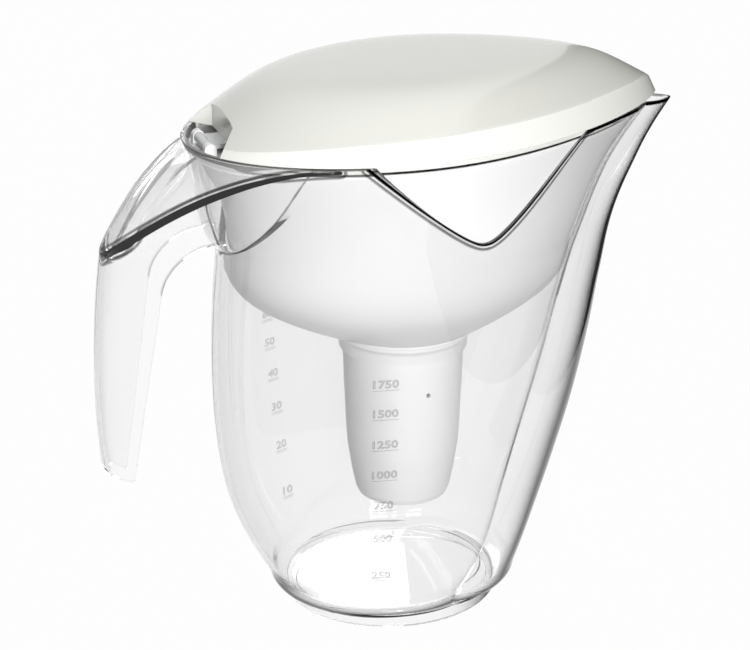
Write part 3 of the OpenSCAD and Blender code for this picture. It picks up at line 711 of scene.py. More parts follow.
    def half_outline(self, z: Array, inset: Array | float, lobes: bool = True) -> Array:
        """Half of the outline at each height, from the rear to the front.

        Args:
            z: Heights, one row for each ring and one column for each point.
            inset: Wall taken off, one number or one for each ring.
            lobes: Whether the outline has the pocket and the pouring lobe.

        Returns:
            x and y of each point, in the last axis.
        """
        rear, side = self.columns
        inset = np.broadcast_to(np.asarray(inset, float), z.shape)
        p, r, f = self.pocket_columns, len(rear), len(side)
        parts = []
        zp, ip = z[:, :p], inset[:, :p]
        s = self.level(zp, ip)
        end = self.pocket_angle(zp, s[2])
        t = np.linspace(0, 1, p, endpoint=False)[None, :]
        corner, on_arc = self.arc(s, end), self.arc(s, end * t)
        back = self.pocket_back(zp) + ip
        depth = self.pocket_depth(zp) if lobes else 0.0
        parts.append(np.stack([
            mix(on_arc[0], mix(corner[0], back, np.cos(math.pi / 2 * t)), depth),
            mix(on_arc[1], corner[1] * np.sin(math.pi / 2 * t), depth)], -1))
        zr, ir = z[:, p:p + r], inset[:, p:p + r]
        s = self.level(zr, ir)
        angle = mix(self.pocket_angle(zr, s[2]), math.pi / 2, rear[None, :])
        parts.append(np.stack(self.arc(s, angle), -1))
        zf, if_ = z[:, p + r:p + r + f], inset[:, p + r:p + r + f]
        s = self.level(zf, if_)
        end = self.reach_at(s[4] / s[2], zf) if lobes else np.ones_like(zf)
        t = np.sin(side[None, :] * np.arcsin(end))
        parts.append(np.stack([mix(s[1], s[3], t), self.half_width_at(t, s[2], zf)], -1))
        zl, il = z[:, p + r + f:], inset[:, p + r + f:]
        s = self.level(zl, il)
        if lobes:
            a = quarter(self.lobe_columns)[None, :]
            x = mix(s[1], s[3], self.reach_at(s[4] / s[2], zl))
            point = self.spout_point * ease((zl - self.high(0.7)) / 30)
            y = mix(np.cos(a), (1 - np.sin(a)) ** 0.75, point)
            parts.append(np.stack([mix(x, s[5], np.sin(a)), s[4] * y], -1))
        else:
            parts.append(np.stack([s[3][:, :1], np.zeros_like(s[3][:, :1])], -1))
        half = np.concatenate(parts, axis=1)
        half[:, [0, -1], 1] = 0.0
        return half

    @property
    def plain_count(self) -> int:
        """Number of points in half an outline without its lobes."""
        return self.pocket_columns + sum(len(c) for c in self.columns) + 1

    @property
    def half_count(self) -> int:
        """Number of points in half an outline with its lobes."""
        return self.plain_count - 1 + self.lobe_columns

    @staticmethod
    def whole(half: Array, z: Array) -> Array:
        """Rings of points from half outlines: the half with y below 0, then its mirror image."""
        half = np.concatenate([half, np.broadcast_to(z, half.shape[:2])[..., None]], -1)
        mirror = half[:, -2:0:-1]
        return np.concatenate([half * [1, -1, 1], mirror], axis=1)

    def rings(self, z: Array, inset: Array | float, lobes: bool = True) -> Array:
        """Rings of points at the heights, with a wall taken off."""
        return self.whole(self.half_outline(z, inset, lobes), z)

    def rim_at(self, x: Array) -> Array:
        """Height of the rim over x: the droop towards the spout, or the V where it is lower. The
        V's edges are a rounded corner, (sqrt(d^2 + r^2) - r) to the power 1.1."""
        droop = self.rim_height - self.spout_drop * ease(
            (x - self.droop_start) / (self.spout_reach - self.droop_start))
        run = np.where(x < self.notch_tip, self.notch_tip + self.notch_rear,
                       self.notch_front - self.notch_tip)
        d, r = (x - self.notch_tip) / run, self.notch_round / run
        v = self.rim_height - self.notch_depth + self.notch_depth * (
            (np.sqrt(d ** 2 + r ** 2) - r) / (np.sqrt(1 + r ** 2) - r)) ** 1.1
        return np.minimum(droop, v)

    @cached_property
    def rim(self) -> Array:
        """Height at which each column of half an outline meets the rim, found in steps."""
        z = np.full((1, self.half_count), self.rim_height)
        for _ in range(self.rim_tries):
            z = mix(z, self.rim_at(self.half_outline(z, 0.0)[..., 0]), 0.7)
        return z[0]


# ---- Jug ------------------------------------------------------------------

@dataclass
class PaintedEdgeLine:
    """A line along which dark is painted on the clear plastic, a painted reflection of the dark
    surroundings in an edge.
    """

    kind: str
    points: Array
    dark: float
    core: float | Array = 0.0

    def measure(self, points: Array, gap: Array, shade: Array) -> None:
        """Lowers the gap of each point that lies nearer to this line than to the others.

        Args:
            points: The mesh's points in millimetres.
            gap: Distance of each point from its nearest line, less that line's core.
            shade: How dark that line is.
        """
        along = np.r_[0, np.cumsum(np.linalg.norm(np.diff(self.points, axis=0), axis=1))]
        s = np.linspace(0, along[-1], int(along[-1] / 0.6) + 2)
        dense = np.stack([np.interp(s, along, self.points[:, k]) for k in range(3)], -1)
        core = np.interp(s, along, np.broadcast_to(self.core, len(along)))
        lo, hi = dense.min(axis=0) - 8, dense.max(axis=0) + 8
        near = np.flatnonzero(((points > lo) & (points < hi)).all(axis=1))
        for part in np.array_split(near, len(near) // 2000 + 1):
            d = np.linalg.norm(points[part, None] - dense[None], axis=-1) - core
            d = np.maximum(d.min(axis=1), 0.0)
            better = d < gap[part]
            gap[part[better]], shade[part[better]] = d[better], self.dark


@dataclass
class Jug:
    """The clear jug: walls, floor, foot ring, hood and grip in one moulding."""

    form: BodyForm
    low_rings: int = 54
    high_rings: int = 34
    edge_rings: int = 8
    lip_radius: float = 0.7
    foot_forward: float = 1.0
    foot_length: float = 112.0
    foot_width: float = 106.0
    foot_band: float = 4.0
    foot_round: float = 0.9
    foot_top: float = 7.0
    recess_length: float = 102.0
    recess_width: float = 74.0
    recess_depth: float = 1.0
    recess_slope: float = 0.7
    grip_reach: float = 151.9
    grip_end: float = 83.0
    grip_width: float = 30.0
    grip_end_width: float = 21.0
    grip_end_depth: float = 13.5
    arch_top: float = 206.0
    arch_height: float = 22.0
    arch_reach: float = 24.0
    grip_slope: float = 0.163
    grip_wall: float = 2.6
    end_slant: float = 5.5
    bow: float = 4.9
    bow_middle: float = 125.0
    bow_half: float = 70.0
    under_hood: float = 2.5
    corner_depth: float = 10.0
    corner_power: float = 0.7
    hood_back: float = 4.8
    hood_sink: float = 0.8
    hood_drop: float = 50.4
    hood_start: float = 42.0
    hood_span: float = 0.985
    hood_wall: float = 3.0
    hood_crown: float = 28.0
    hood_bulge: float = 0.012
    haze: float = 0.035
    grip_haze: float = 0.015
    hood_haze: float = 0.08
    far_gap: float = 99.0
    hazy_up: Ramp = Ramp(9.0, 20.0)
    grip_from: Ramp = Ramp(98.0, 12.0)
    hood_from: Ramp = Ramp(62.0, 20.0)
    hood_up: Ramp = Ramp(203.0, 6.0)
    # Where the painted grazing shade goes: round the bottom, on the pouring lobe, and on faces that
    # turn outwards.
    bottom_start: Ramp = Ramp(3.2, 2.0)
    bottom_end: Ramp = Ramp(12.0, 16.0)
    lobe_start: Ramp = Ramp(0.1, 0.5)
    facing_out: Ramp = Ramp(0.0, 0.3)

    def wall_half(self, inset: float, radius: float, bottom: float) -> Array:
        """One face of the wall, from the middle of the floor up to the rim's rounding.

        Args:
            inset: Distance of the face inside the jug's outer face.
            radius: Radius of its rounded bottom edge.
            bottom: Height of its flat bottom.

        Returns:
            Rings of points, from the floor to the rim.
        """
        form, n = self.form, self.form.half_count
        a = np.linspace(math.pi / 2, 0, self.edge_rings, endpoint=False)[:, None]
        at_base = np.full((self.edge_rings, n), form.base_height)
        edge = form.whole(form.half_outline(at_base, inset + radius * (1 - np.cos(a))),
                          bottom + radius * (1 - np.sin(a)))
        middle = np.array([0.0, 0.0, bottom])
        floor = np.concatenate([mix(middle, edge[:1], t) for t in (0.15, 0.4, 0.62, 0.8, 0.92)])
        start = form.high(0.47)
        low = np.linspace(bottom + radius, start, self.low_rings, endpoint=False)[:, None]
        low = np.broadcast_to(low, (self.low_rings, n))
        t = np.linspace(0, 1, self.high_rings)[:, None]
        top = form.rim[None, :] - self.lip_radius
        high = mix(start, top, t)
        z = np.concatenate([low, high])
        return np.concatenate([floor, edge, form.rings(z, inset)])

    def lip(self) -> Array:
        """Rings of the rim's rounded lip: a quarter circle up the outer face and one down the
        inner face."""
        form, r = self.form, self.lip_radius
        a = quarter(5)[1:, None]
        inset = np.concatenate([r * (1 - np.cos(a)), form.wall - r * (1 - np.cos(a[::-1]))])
        drop = np.concatenate([r * (1 - np.sin(a)), r * (1 - np.sin(a[::-1]))])
        return form.rings(form.rim[None, :] - drop, inset)

    def walls(self) -> Skin:
        """The walls and the floor as one closed skin."""
        form = self.form
        floor = form.foot_height + form.floor
        outer = self.wall_half(0.0, form.edge_radius, form.foot_height)
        inner = self.wall_half(form.wall, form.edge_radius - form.wall, floor)
        rings = np.concatenate([outer, self.lip(), inner[::-1]])
        return vessel(rings, [0.0, 0.0, form.foot_height], [0.0, 0.0, floor])

    def oval(self, half_length: Array, half_width: Array, z: Array, count: int = 120) -> Array:
        """Rings round the foot's middle: x = middle + a cos t, y = b sin t."""
        t = np.linspace(0, 2 * math.pi, count, endpoint=False)[None, :]
        return spread(self.foot_forward + half_length[:, None] * np.cos(t),
                      half_width[:, None] * np.sin(t), z[:, None])

    def foot(self) -> Skin:
        """Foot ring, with rounded lower edges, that runs up into the bottom's edge."""
        r, top, a = self.foot_round, self.foot_top, quarter(5)
        out, up = r * (1 - np.sin(a)), r * (1 - np.cos(a))
        inset = np.r_[0.0, out[::-1], self.foot_band - out, self.foot_band]
        z = np.r_[top, up[::-1], up, top]
        return hoop(self.oval(self.foot_length / 2 - inset, self.foot_width / 2 - inset, z))

    def recess(self) -> Skin:
        """Shallow oval under the floor, with a sloping edge."""
        z = self.form.foot_height + np.array([-1.0, 0.0, self.recess_depth])
        inset = np.array([0.0, 0.0, self.recess_slope])
        rings = self.oval(self.recess_length / 2 - inset, self.recess_width / 2 - inset, z)
        return vessel(rings, [self.foot_forward, 0, z[0]], [self.foot_forward, 0, z[-1]])

    @property
    def hood_tip(self) -> float:
        """Distance of the hood's tip behind the origin."""
        return self.grip_reach - self.hood_back

    @property
    def hood_top(self) -> float:
        """Height of the hood's upper edge, in the rim."""
        return self.form.rim_height - self.hood_sink

    def hood_point(self, u: Array, v: Array) -> Array:
        """Point of the hood: u from the middle (0) to the end at the side (1 or -1), v from the
        rim's rear arc down to the hood's own edge, with a crown between them."""
        t = np.abs(u)
        s = self.form.level(np.array(self.form.rim_height), 0.0)
        end = s[2] * math.sqrt(1 - ((s[1] + self.hood_start) / (s[1] - s[0])) ** 2)
        m = self.form.level(np.array(self.form.rim_height), self.form.wall / 2)
        top = [m[1] - (m[1] - m[0]) * np.sqrt(1 - (end * t / m[2]) ** 2), end * t, self.hood_top]
        e = t ** 1.55
        edge = [mix(-self.hood_tip, -self.hood_start, e), end * e ** 0.65,
                self.hood_top - (self.hood_drop - self.hood_sink) * (1 - e) ** 2.15]
        x, y, z = (mix(a, b, v) for a, b in zip(top, edge))
        return spread(x, y * np.sign(u), z + self.hood_crown * (1 - t) * v * (1 - v))

    def hood_side(self, u: Array, v: Array, down: Array | float) -> Array:
        """The hood's face at a depth below its upper face: deeper at its tip, thin at its ends."""
        p = self.hood_point(u, v)
        t = np.abs(u)
        at_tip = 1 + 0.45 * (1 - t) ** 6 * np.clip(v, 0, 1) ** 3
        deep = down * at_tip * (1 - 0.5 * ease((t - 0.6) / 0.4))
        back, down = 0.6 * deep * (1 - t), -deep * mix(1.25, 1.0, t)
        return p + spread(back, 0 * t, down, p[..., 0])[..., :3]

    def hood(self) -> Skin:
        """The hood as a curved sheet whose own edge is half round: over the angle a its depth
        goes with (1 - cos a) / 2 and it stands out with sin a."""
        u = np.linspace(-self.hood_span, self.hood_span, 101)[:, None]
        a = quarter(5)[1:-1]
        v = np.concatenate([np.linspace(0, 0.93, 18), [0.955, 0.975, 0.99, 1.0]])
        out = np.concatenate([v, 1 + self.hood_bulge * np.sin(a)])[None, :]
        depth = np.concatenate([0 * v, (1 - np.cos(a)) / 2])[None, :]
        return sheet(self.hood_side(u, out, self.hood_wall * depth),
                     self.hood_side(u, out, self.hood_wall * (1 - depth)))

    def grip_back(self, z: Array) -> Array:
        """x of the grip's back: a shallow bow up to the hood, then the hood's middle line."""
        drop = self.hood_drop - self.hood_sink - self.hood_crown
        root = np.sqrt(np.maximum(drop ** 2 + 4 * self.hood_crown * (self.hood_top - z), 0))
        v = np.minimum((root - drop) / (2 * self.hood_crown), 1)
        top = self.hood_point(np.array(0.0), np.array(0.0))[0]
        return np.where(z < self.hood_top - self.hood_drop,
                        -self.grip_reach + self.bow * ((z - self.bow_middle) / self.bow_half) ** 2,
                        mix(top, -self.hood_tip, v) + self.under_hood)

    def grip_front(self, z: Array) -> Array:
        """x of the grip's open side: straight and slanted, then a quarter circle into the body."""
        c = np.clip((z - self.arch_top + self.arch_height) / self.arch_height, 0, 1)
        low = (self.grip_back(np.array(self.grip_end)) + self.grip_end_depth
               + self.grip_slope * (z - self.grip_end)
               + self.arch_reach * (1 - np.sqrt(1 - c ** 2)))
        high = mix(-self.form.waist_rear + 1.2, self.form.pocket_back(z) + 3.1,
                   ease((z - self.arch_top) / 5))
        return np.where(z < self.arch_top, low, high)

    def grip_section(self, z: Array, inset: float) -> Array:
        """Level sections of the grip's channel, from one open edge round the back to the other.
        The corner is a rounded one: x follows 1 - sin^0.7, y follows cos^0.7."""
        w = mix(self.grip_end_width, self.grip_width,
                ease((z - self.grip_end) / (self.arch_top - self.grip_end))) / 2 - inset
        back, front = self.grip_back(z) + inset, self.grip_front(z)
        depth = np.minimum(self.corner_depth, 0.6 * (front - back))
        a = quarter(15)[None, :]
        side = np.linspace(0, 1, 6, endpoint=False)[None, :]
        x = np.concatenate([mix(front[:, None], (back + depth)[:, None], side),
                            back[:, None] + depth[:, None] * (1 - np.sin(a) ** self.corner_power)],
                           axis=1)
        y = np.concatenate([np.broadcast_to(w[:, None], (len(z), 6)),
                            w[:, None] * np.clip(np.cos(a), 0, 1) ** self.corner_power], axis=1)
        y[:, -1] = 0.0
        slant = self.end_slant * (1 - np.clip((z - self.grip_end) / 40, 0, 1)) / (front - back)
        up = z[:, None] + slant[:, None] * (front[:, None] - x)
        half = np.stack([x, -y, up], -1)
        return np.concatenate([half, half[:, -2::-1] * [1, -1, 1]], axis=1)

    def arch_levels(self, count: int) -> Array:
        """Heights through the arch, closer together near its top."""
        return self.arch_top - self.arch_height + self.arch_height * np.sin(quarter(count)) - 1e-6

    def grip(self) -> Skin:
        """The grip as a channel that is open towards the body."""
        z = np.concatenate([
            np.linspace(self.grip_end, self.arch_top - self.arch_height, 34, endpoint=False),
            self.arch_levels(16),
            mix(self.arch_top, self.hood_top, np.linspace(0.01, 0.93, 22))])
        return sheet(self.grip_section(z, 0.0), self.grip_section(z, self.grip_wall))

    def painted_edge_lines(self) -> list[PaintedEdgeLine]:
        """Lines along which dark is painted on the plastic: painted reflections of the dark
        surroundings in its edges.
        """
        form = self.form
        rim = form.rings(form.rim[None, :], 0.0)[0]
        rim = np.concatenate([rim, rim[:1]])
        in_v = (rim[:, 0] > -form.notch_rear - 2) & (rim[:, 0] < form.notch_front + 2)
        at_spout = rim[:, 0] > form.notch_front - 2
        u = np.linspace(-self.hood_span, self.hood_span, 400)[:, None]
        hood = self.hood_side(u, np.array([[1 + self.hood_bulge / 2]]), self.hood_wall * 0.5)[:, 0]
        band = mix(1.3, 0.0, ease((np.abs(u[:, 0]) - 0.5) / 0.45))
        bend = self.arch_top - self.arch_height
        low = self.grip_section(np.linspace(self.grip_end, bend, 200), self.grip_wall / 2)
        arch = self.grip_section(self.arch_levels(60), self.grip_wall / 2)
        levels = np.linspace(form.pocket_start, form.rim_height - 1.2, 120)[:, None]
        s = form.level(levels, 0.0)
        x, y = form.arc(s, form.pocket_angle(levels, s[2]))
        crease = np.concatenate([x, y, levels], axis=1)
        # Painted dark lines along the rim, the V, the spout, the pocket's creases, the hood's edge
        # and the grip's edges and end.
        lines = [PaintedEdgeLine("single", rim, 0.9)]
        for side in (-1, 1):
            mine = rim[:, 1] * side >= 0
            lines += [PaintedEdgeLine("double", rim[in_v & mine], 1.0),
                      PaintedEdgeLine("single", rim[at_spout & mine], 1.0, core=0.9),
                      PaintedEdgeLine("single", crease * [1, side, 1], 0.9, core=-0.2)]
        lines.append(PaintedEdgeLine("double", hood, 1.0, core=band))
        for k in (0, -1):
            lines += [PaintedEdgeLine("single", low[:, k], 0.45),
                      PaintedEdgeLine("single", arch[:, k], 0.6, core=0.8)]
        lines.append(PaintedEdgeLine("single", low[0], 0.85, core=0.3))
        return lines

    def mark(self, jug: bpy.types.Object) -> None:
        """Stores on each point its distance from the painted edge lines, the share by which the
        painted grazing shade darkens, full on the pouring lobe and round the bottom, and the haze,
        which is stronger on the hood and the grip."""
        mesh = jug.data
        points, normals = rows_of(mesh.vertices, "co") / MM, rows_of(mesh.vertices, "normal")
        x, y, z = points.T
        away = (normals[:, 0] * x + normals[:, 1] * y) / np.maximum(np.hypot(x, y), 1.0)
        s = self.form.level(z, 0.0)
        joint = mix(s[1], s[3], self.form.reach_at(np.clip(s[4] / s[2], 0, 1), z))
        lobe = self.lobe_start((x - joint) / np.maximum(s[5] - joint, 1.0))
        low = self.bottom_start(z) * (1 - self.bottom_end(z))
        hood, grip = self.hood_from(-x) * self.hood_up(z), self.grip_from(-x)
        milk = self.haze + self.grip_haze * grip + self.hood_haze * hood
        # Share of painted grazing shade, and the haze.
        values = {"grazing_shade": 0.1 + 0.9 * np.maximum(lobe, low) * self.facing_out(away),
                  "haze": self.hazy_up(z) * milk}
        lines = self.painted_edge_lines()
        for kind in ("double", "single"):
            gap, shade = np.full(len(points), self.far_gap), np.zeros(len(points))
            for line in lines:
                if line.kind == kind:
                    line.measure(points, gap, shade)
            values[kind + "_gap"], values[kind + "_shade"] = gap, shade
        for name, numbers in values.items():
            mesh.attributes.new(name, "FLOAT", "POINT").data.foreach_set("value", numbers)

    def build(self) -> list[bpy.types.Object]:
        """Builds the jug and puts it on its body."""
        jug = combined("clear_jug", self.walls(), (Step.ADD, self.foot()), (Step.ADD, self.hood()),
                       (Step.ADD, self.grip()), (Step.TAKE, self.recess()), sharp_above=28)
        self.mark(jug)
        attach(jug, "jug_body")
        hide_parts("jug")
        wear(jug, ClearPlastic().make())
        return [jug]


# ---- Volume scale ---------------------------------------------------------

@dataclass
class VolumeScale:
    """Raised numbers on the jug's two sides, each outlined by a thin bead over a line."""

    form: BodyForm
    near_marks: tuple[tuple[float, str], ...] = (
        (31.0, "250"), (53.0, "500"), (72.5, "750"), (90.0, "1000"), (107.0, "1250"),
        (124.0, "1500"), (140.0, "1750"))
    far_marks: tuple[tuple[float, str], ...] = (
        (35.0, "10"), (61.0, "20"), (83.0, "30"), (102.0, "40"), (120.0, "50"), (136.0, "60"))
    near_middle: tuple[float, float] = (-22.0, -22.0)
    far_middle: tuple[float, float] = (-41.5, -49.5)
    digit_height: float = 4.4
    digit_width: float = 3.1
    bead: float = 0.1
    line_gap: float = 1.2

    def outlines(self, text: str) -> Skin:
        """Beads along the outlines of the digits, lying flat: x along the text, y up, z out."""
        curve = bpy.data.curves.new("digits", "FONT")
        curve.body, curve.fill_mode, curve.resolution_u = text, "NONE", 2
        curve.bevel_depth, curve.bevel_resolution = 0.02, 1
        made = bpy.data.objects.new("digits", curve)
        bpy.context.scene.collection.objects.link(made)
        bpy.context.view_layer.update()
        graph = bpy.context.evaluated_depsgraph_get()
        mesh = bpy.data.meshes.new_from_object(made.evaluated_get(graph))
        flat = Skin.of(mesh, 1.0)
        bpy.data.objects.remove(made)
        bpy.data.curves.remove(curve)
        bpy.data.meshes.remove(mesh)
        lo, hi = flat.points.min(axis=0), flat.points.max(axis=0)
        size = np.array([self.digit_width * len(text), self.digit_height, 2 * self.bead])
        flat.points = (flat.points - [(lo[0] + hi[0]) / 2, lo[1], 0]) * size / (hi - lo)
        return flat

    def rod(self, start: float, end: float, up: float) -> Skin:
        """Straight bead along x, an eight-sided tube with closed ends."""
        a = np.linspace(0, 2 * math.pi, 8, endpoint=False)[None, :]
        x = np.linspace(start, end, 14)[:, None]
        rings = spread(x, up + self.bead * np.cos(a), self.bead * np.sin(a))
        return vessel(rings, [start, up, 0], [end, up, 0])

    def wrapped(self, flat: Skin, side: float, middle: float, height: float) -> Skin:
        """Lays a flat skin on the jug's side, where y = half width sqrt(1 - ((w - x) / (w - r))^2)
        with w the widest place and r the rear, plus the height of the bead."""
        x, z = flat.points[:, 0] + middle, flat.points[:, 1] + height
        s = self.form.level(z, 0.0)
        y = s[2] * np.sqrt(1 - ((s[1] - x) / (s[1] - s[0])) ** 2) + flat.points[:, 2]
        return Skin(np.stack([x, side * y, z], -1), flat.quads, flat.tris).outward()

    def build(self) -> list[bpy.types.Object]:
        """Builds the two scales and puts them on the jug's body."""
        # The raised beads are given a dark grey that paints the dark look clear raised plastic
        # takes from what it reflects and bends: painted shade.
        finish = Moulded("scale_beads", (0.2, 0.2, 0.2), roughness=0.35, grain=0.5,
                         mottle=0.2).make()
        made = []
        for name, side, marks, ends in (("near_scale", -1.0, self.near_marks, self.near_middle),
                                        ("far_scale", 1.0, self.far_marks, self.far_middle)):
            whole: Skin | None = None
            for height, text in marks:
                middle = float(np.interp(height, [marks[0][0], marks[-1][0]], ends))
                half = self.digit_width * len(text) / 2 + 0.4
                for flat in (self.outlines(text), self.rod(-half, half, -self.line_gap),
                             *([self.rod(-half, half, -1.8 * self.line_gap)] if side > 0 else [])):
                    laid = self.wrapped(flat, side, middle, height)
                    whole = laid if whole is None else whole.joined(laid)
            piece = whole.piece(name)
            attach(piece, "jug_body")
            piece.data.materials.append(finish)
            made.append(piece)
        return made


# ---- Funnel ---------------------------------------------------------------

@dataclass
class Funnel:
    """The white funnel with its neck, and the shelf and ears of the hinge."""

    form: BodyForm
    gap: float = 1.1
    wall: float = 2.0
    drop: float = 5.0
    turn: float = 192.0
    floor: float = 147.0
    shelf: float = 2.0
    axis: float = 8.0
    neck_bore: float = 30.9
    neck_wall: float = 1.7
    neck_end: float = 136.0
    ledge_radius: float = 36.4
    ledge_rise: float = 2.5
    hinge_back: float = 93.5
    hinge_height: float = 254.0
    ear_radius: float = 2.98
    ear_start: float = 8.9
    ear_width: float = 4.0
    shelf_front: float = -80.0
    turns: tuple[tuple[float, float], ...] = (
        (0, 0), (0.02, 0.18), (0.085, 0.36), (0.21, 0.53), (0.44, 0.71), (0.73, 0.88), (1, 1))

    @property
    def inset(self) -> float:
        """Distance of the funnel's outer face inside the jug's outer face."""
        return self.form.wall + self.gap

    def face(self, inset: float, lift: float, top: float) -> Array:
        """One face of the bowl, from the neck up to the rim. The underside runs from the wall's
        outline to a circle round the neck along a smooth line.

        Args:
            inset: Distance inside the funnel's outer face.
            lift: How far the face lies above the outer one at the neck.
            top: Height of its upper end.

        Returns:
            Rings of points.
        """
        form = self.form
        inset += self.inset
        ring = form.rings(np.full((1, form.plain_count), self.turn), inset, lobes=False)
        away = ring[..., :2] - [self.axis, 0]
        neck = [self.axis, 0] + (self.ledge_radius - 1.5) * away / np.linalg.norm(
            away, axis=-1, keepdims=True)
        line = through([list(t) for t in self.turns], 40)[::-1]
        inward, down = line[:, :1, None], line[:, 1:]
        flat = mix(ring[..., :2], neck, inward)
        height = mix(self.turn, self.floor, down) + lift * line[:, :1]
        bowl = np.concatenate([flat, np.broadcast_to(height[..., None], (*flat.shape[:2], 1))], -1)
        z = np.linspace(self.turn, top, 24)[1:, None]
        z = np.broadcast_to(z, (len(z), form.plain_count))
        return np.concatenate([bowl, form.rings(z, inset, lobes=False)])

    def bowl(self) -> Skin:
        """The bowl's wall, with a rounded rim."""
        form = self.form
        top, r = form.rim_height - self.drop, self.wall / 2
        a = np.linspace(0, math.pi, 9)[1:-1, None]
        z = np.broadcast_to(top - r + r * np.sin(a), (len(a), form.plain_count))
        rim = form.rings(z, self.inset + r * (1 - np.cos(a)), lobes=False)
        return hoop(np.concatenate([self.face(0.0, 0.0, top - r), rim,
                                    self.face(self.wall, self.wall, top - r)[::-1]]))

    def neck(self) -> Skin:
        """The neck that holds the cartridge, with its flared collar and its ledge."""
        b, r, e, f = self.neck_bore, self.neck_bore + self.neck_wall, self.neck_end, self.floor
        wide, high = self.ledge_radius, f + self.ledge_rise
        outer = through([[r, e], [r, e + 1.5], [r + 0.2, e + 3.5], [r + 0.6, e + 6],
                         [r + 1.5, e + 7.6], [r + 1.8, e + 8.5], [r + 1.9, f - 1.2],
                         [wide - 0.6, f - 0.8], [wide, f - 0.2], [wide, high]], 60)
        inner = [[b, high], [b, e + 0.4], [b + 0.4, e], [r - 0.5, e]]
        return turned(np.concatenate([inner, outer[1:]]), self.axis)

    def build(self) -> list[bpy.types.Object]:
        """Builds the funnel and puts it on its body."""
        finish = Moulded("white_plastic", (0.80, 0.80, 0.80), roughness=0.32, coat=0.3).make()
        bowl = combined("funnel_bowl", self.bowl(), (Step.ADD, self.neck()),
                        (Step.ADD, self.shelf_skin()), *[(Step.ADD, ear) for ear in self.ears()])
        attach(bowl, "funnel_body")
        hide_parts("funnel")
        wear(bowl, finish)
        return [bowl]

    @property
    def shelf_top(self) -> float:
        """Height of the shelf's upper face."""
        return self.hinge_height - self.ear_radius - 0.2

    def shelf_skin(self) -> Skin:
        """The shelf that closes the funnel's rear: the jug's inner outline, cut off straight."""
        form = self.form
        level = np.full((1, form.half_count), self.shelf_top)
        half = form.half_outline(level, self.inset)[0]
        half = half[half[:, 0] < self.shelf_front]
        edge = np.array([[self.shelf_front, half[-1, 1]], [self.shelf_front, 0.0]])
        half = np.concatenate([half, edge])
        outline = np.concatenate([half * [1, -1], half[-2:0:-1]])
        return prism(outline, self.shelf_top - self.shelf, self.shelf_top)

    def ears(self) -> list[Skin]:
        """Two ears for the hinge's pins: a round top on a block, as an extruded outline."""
        a = np.linspace(0, math.pi, 25)
        x, z, r, low = -self.hinge_back, self.hinge_height, self.ear_radius, self.shelf_top - 1
        outline = np.concatenate([np.c_[x + r * np.cos(a), z + r * np.sin(a)],
                                  [[x - r, low], [x + r, low]]])
        made = []
        for side in (-1, 1):
            y = np.array([self.ear_start, self.ear_start + self.ear_width]) * side
            rings = spread(outline[:, 0], y[:, None], outline[:, 1])
            made.append(vessel(rings, [x, y[0], z], [x, y[1], z]))
        return made


# ---- Lid ------------------------------------------------------------------

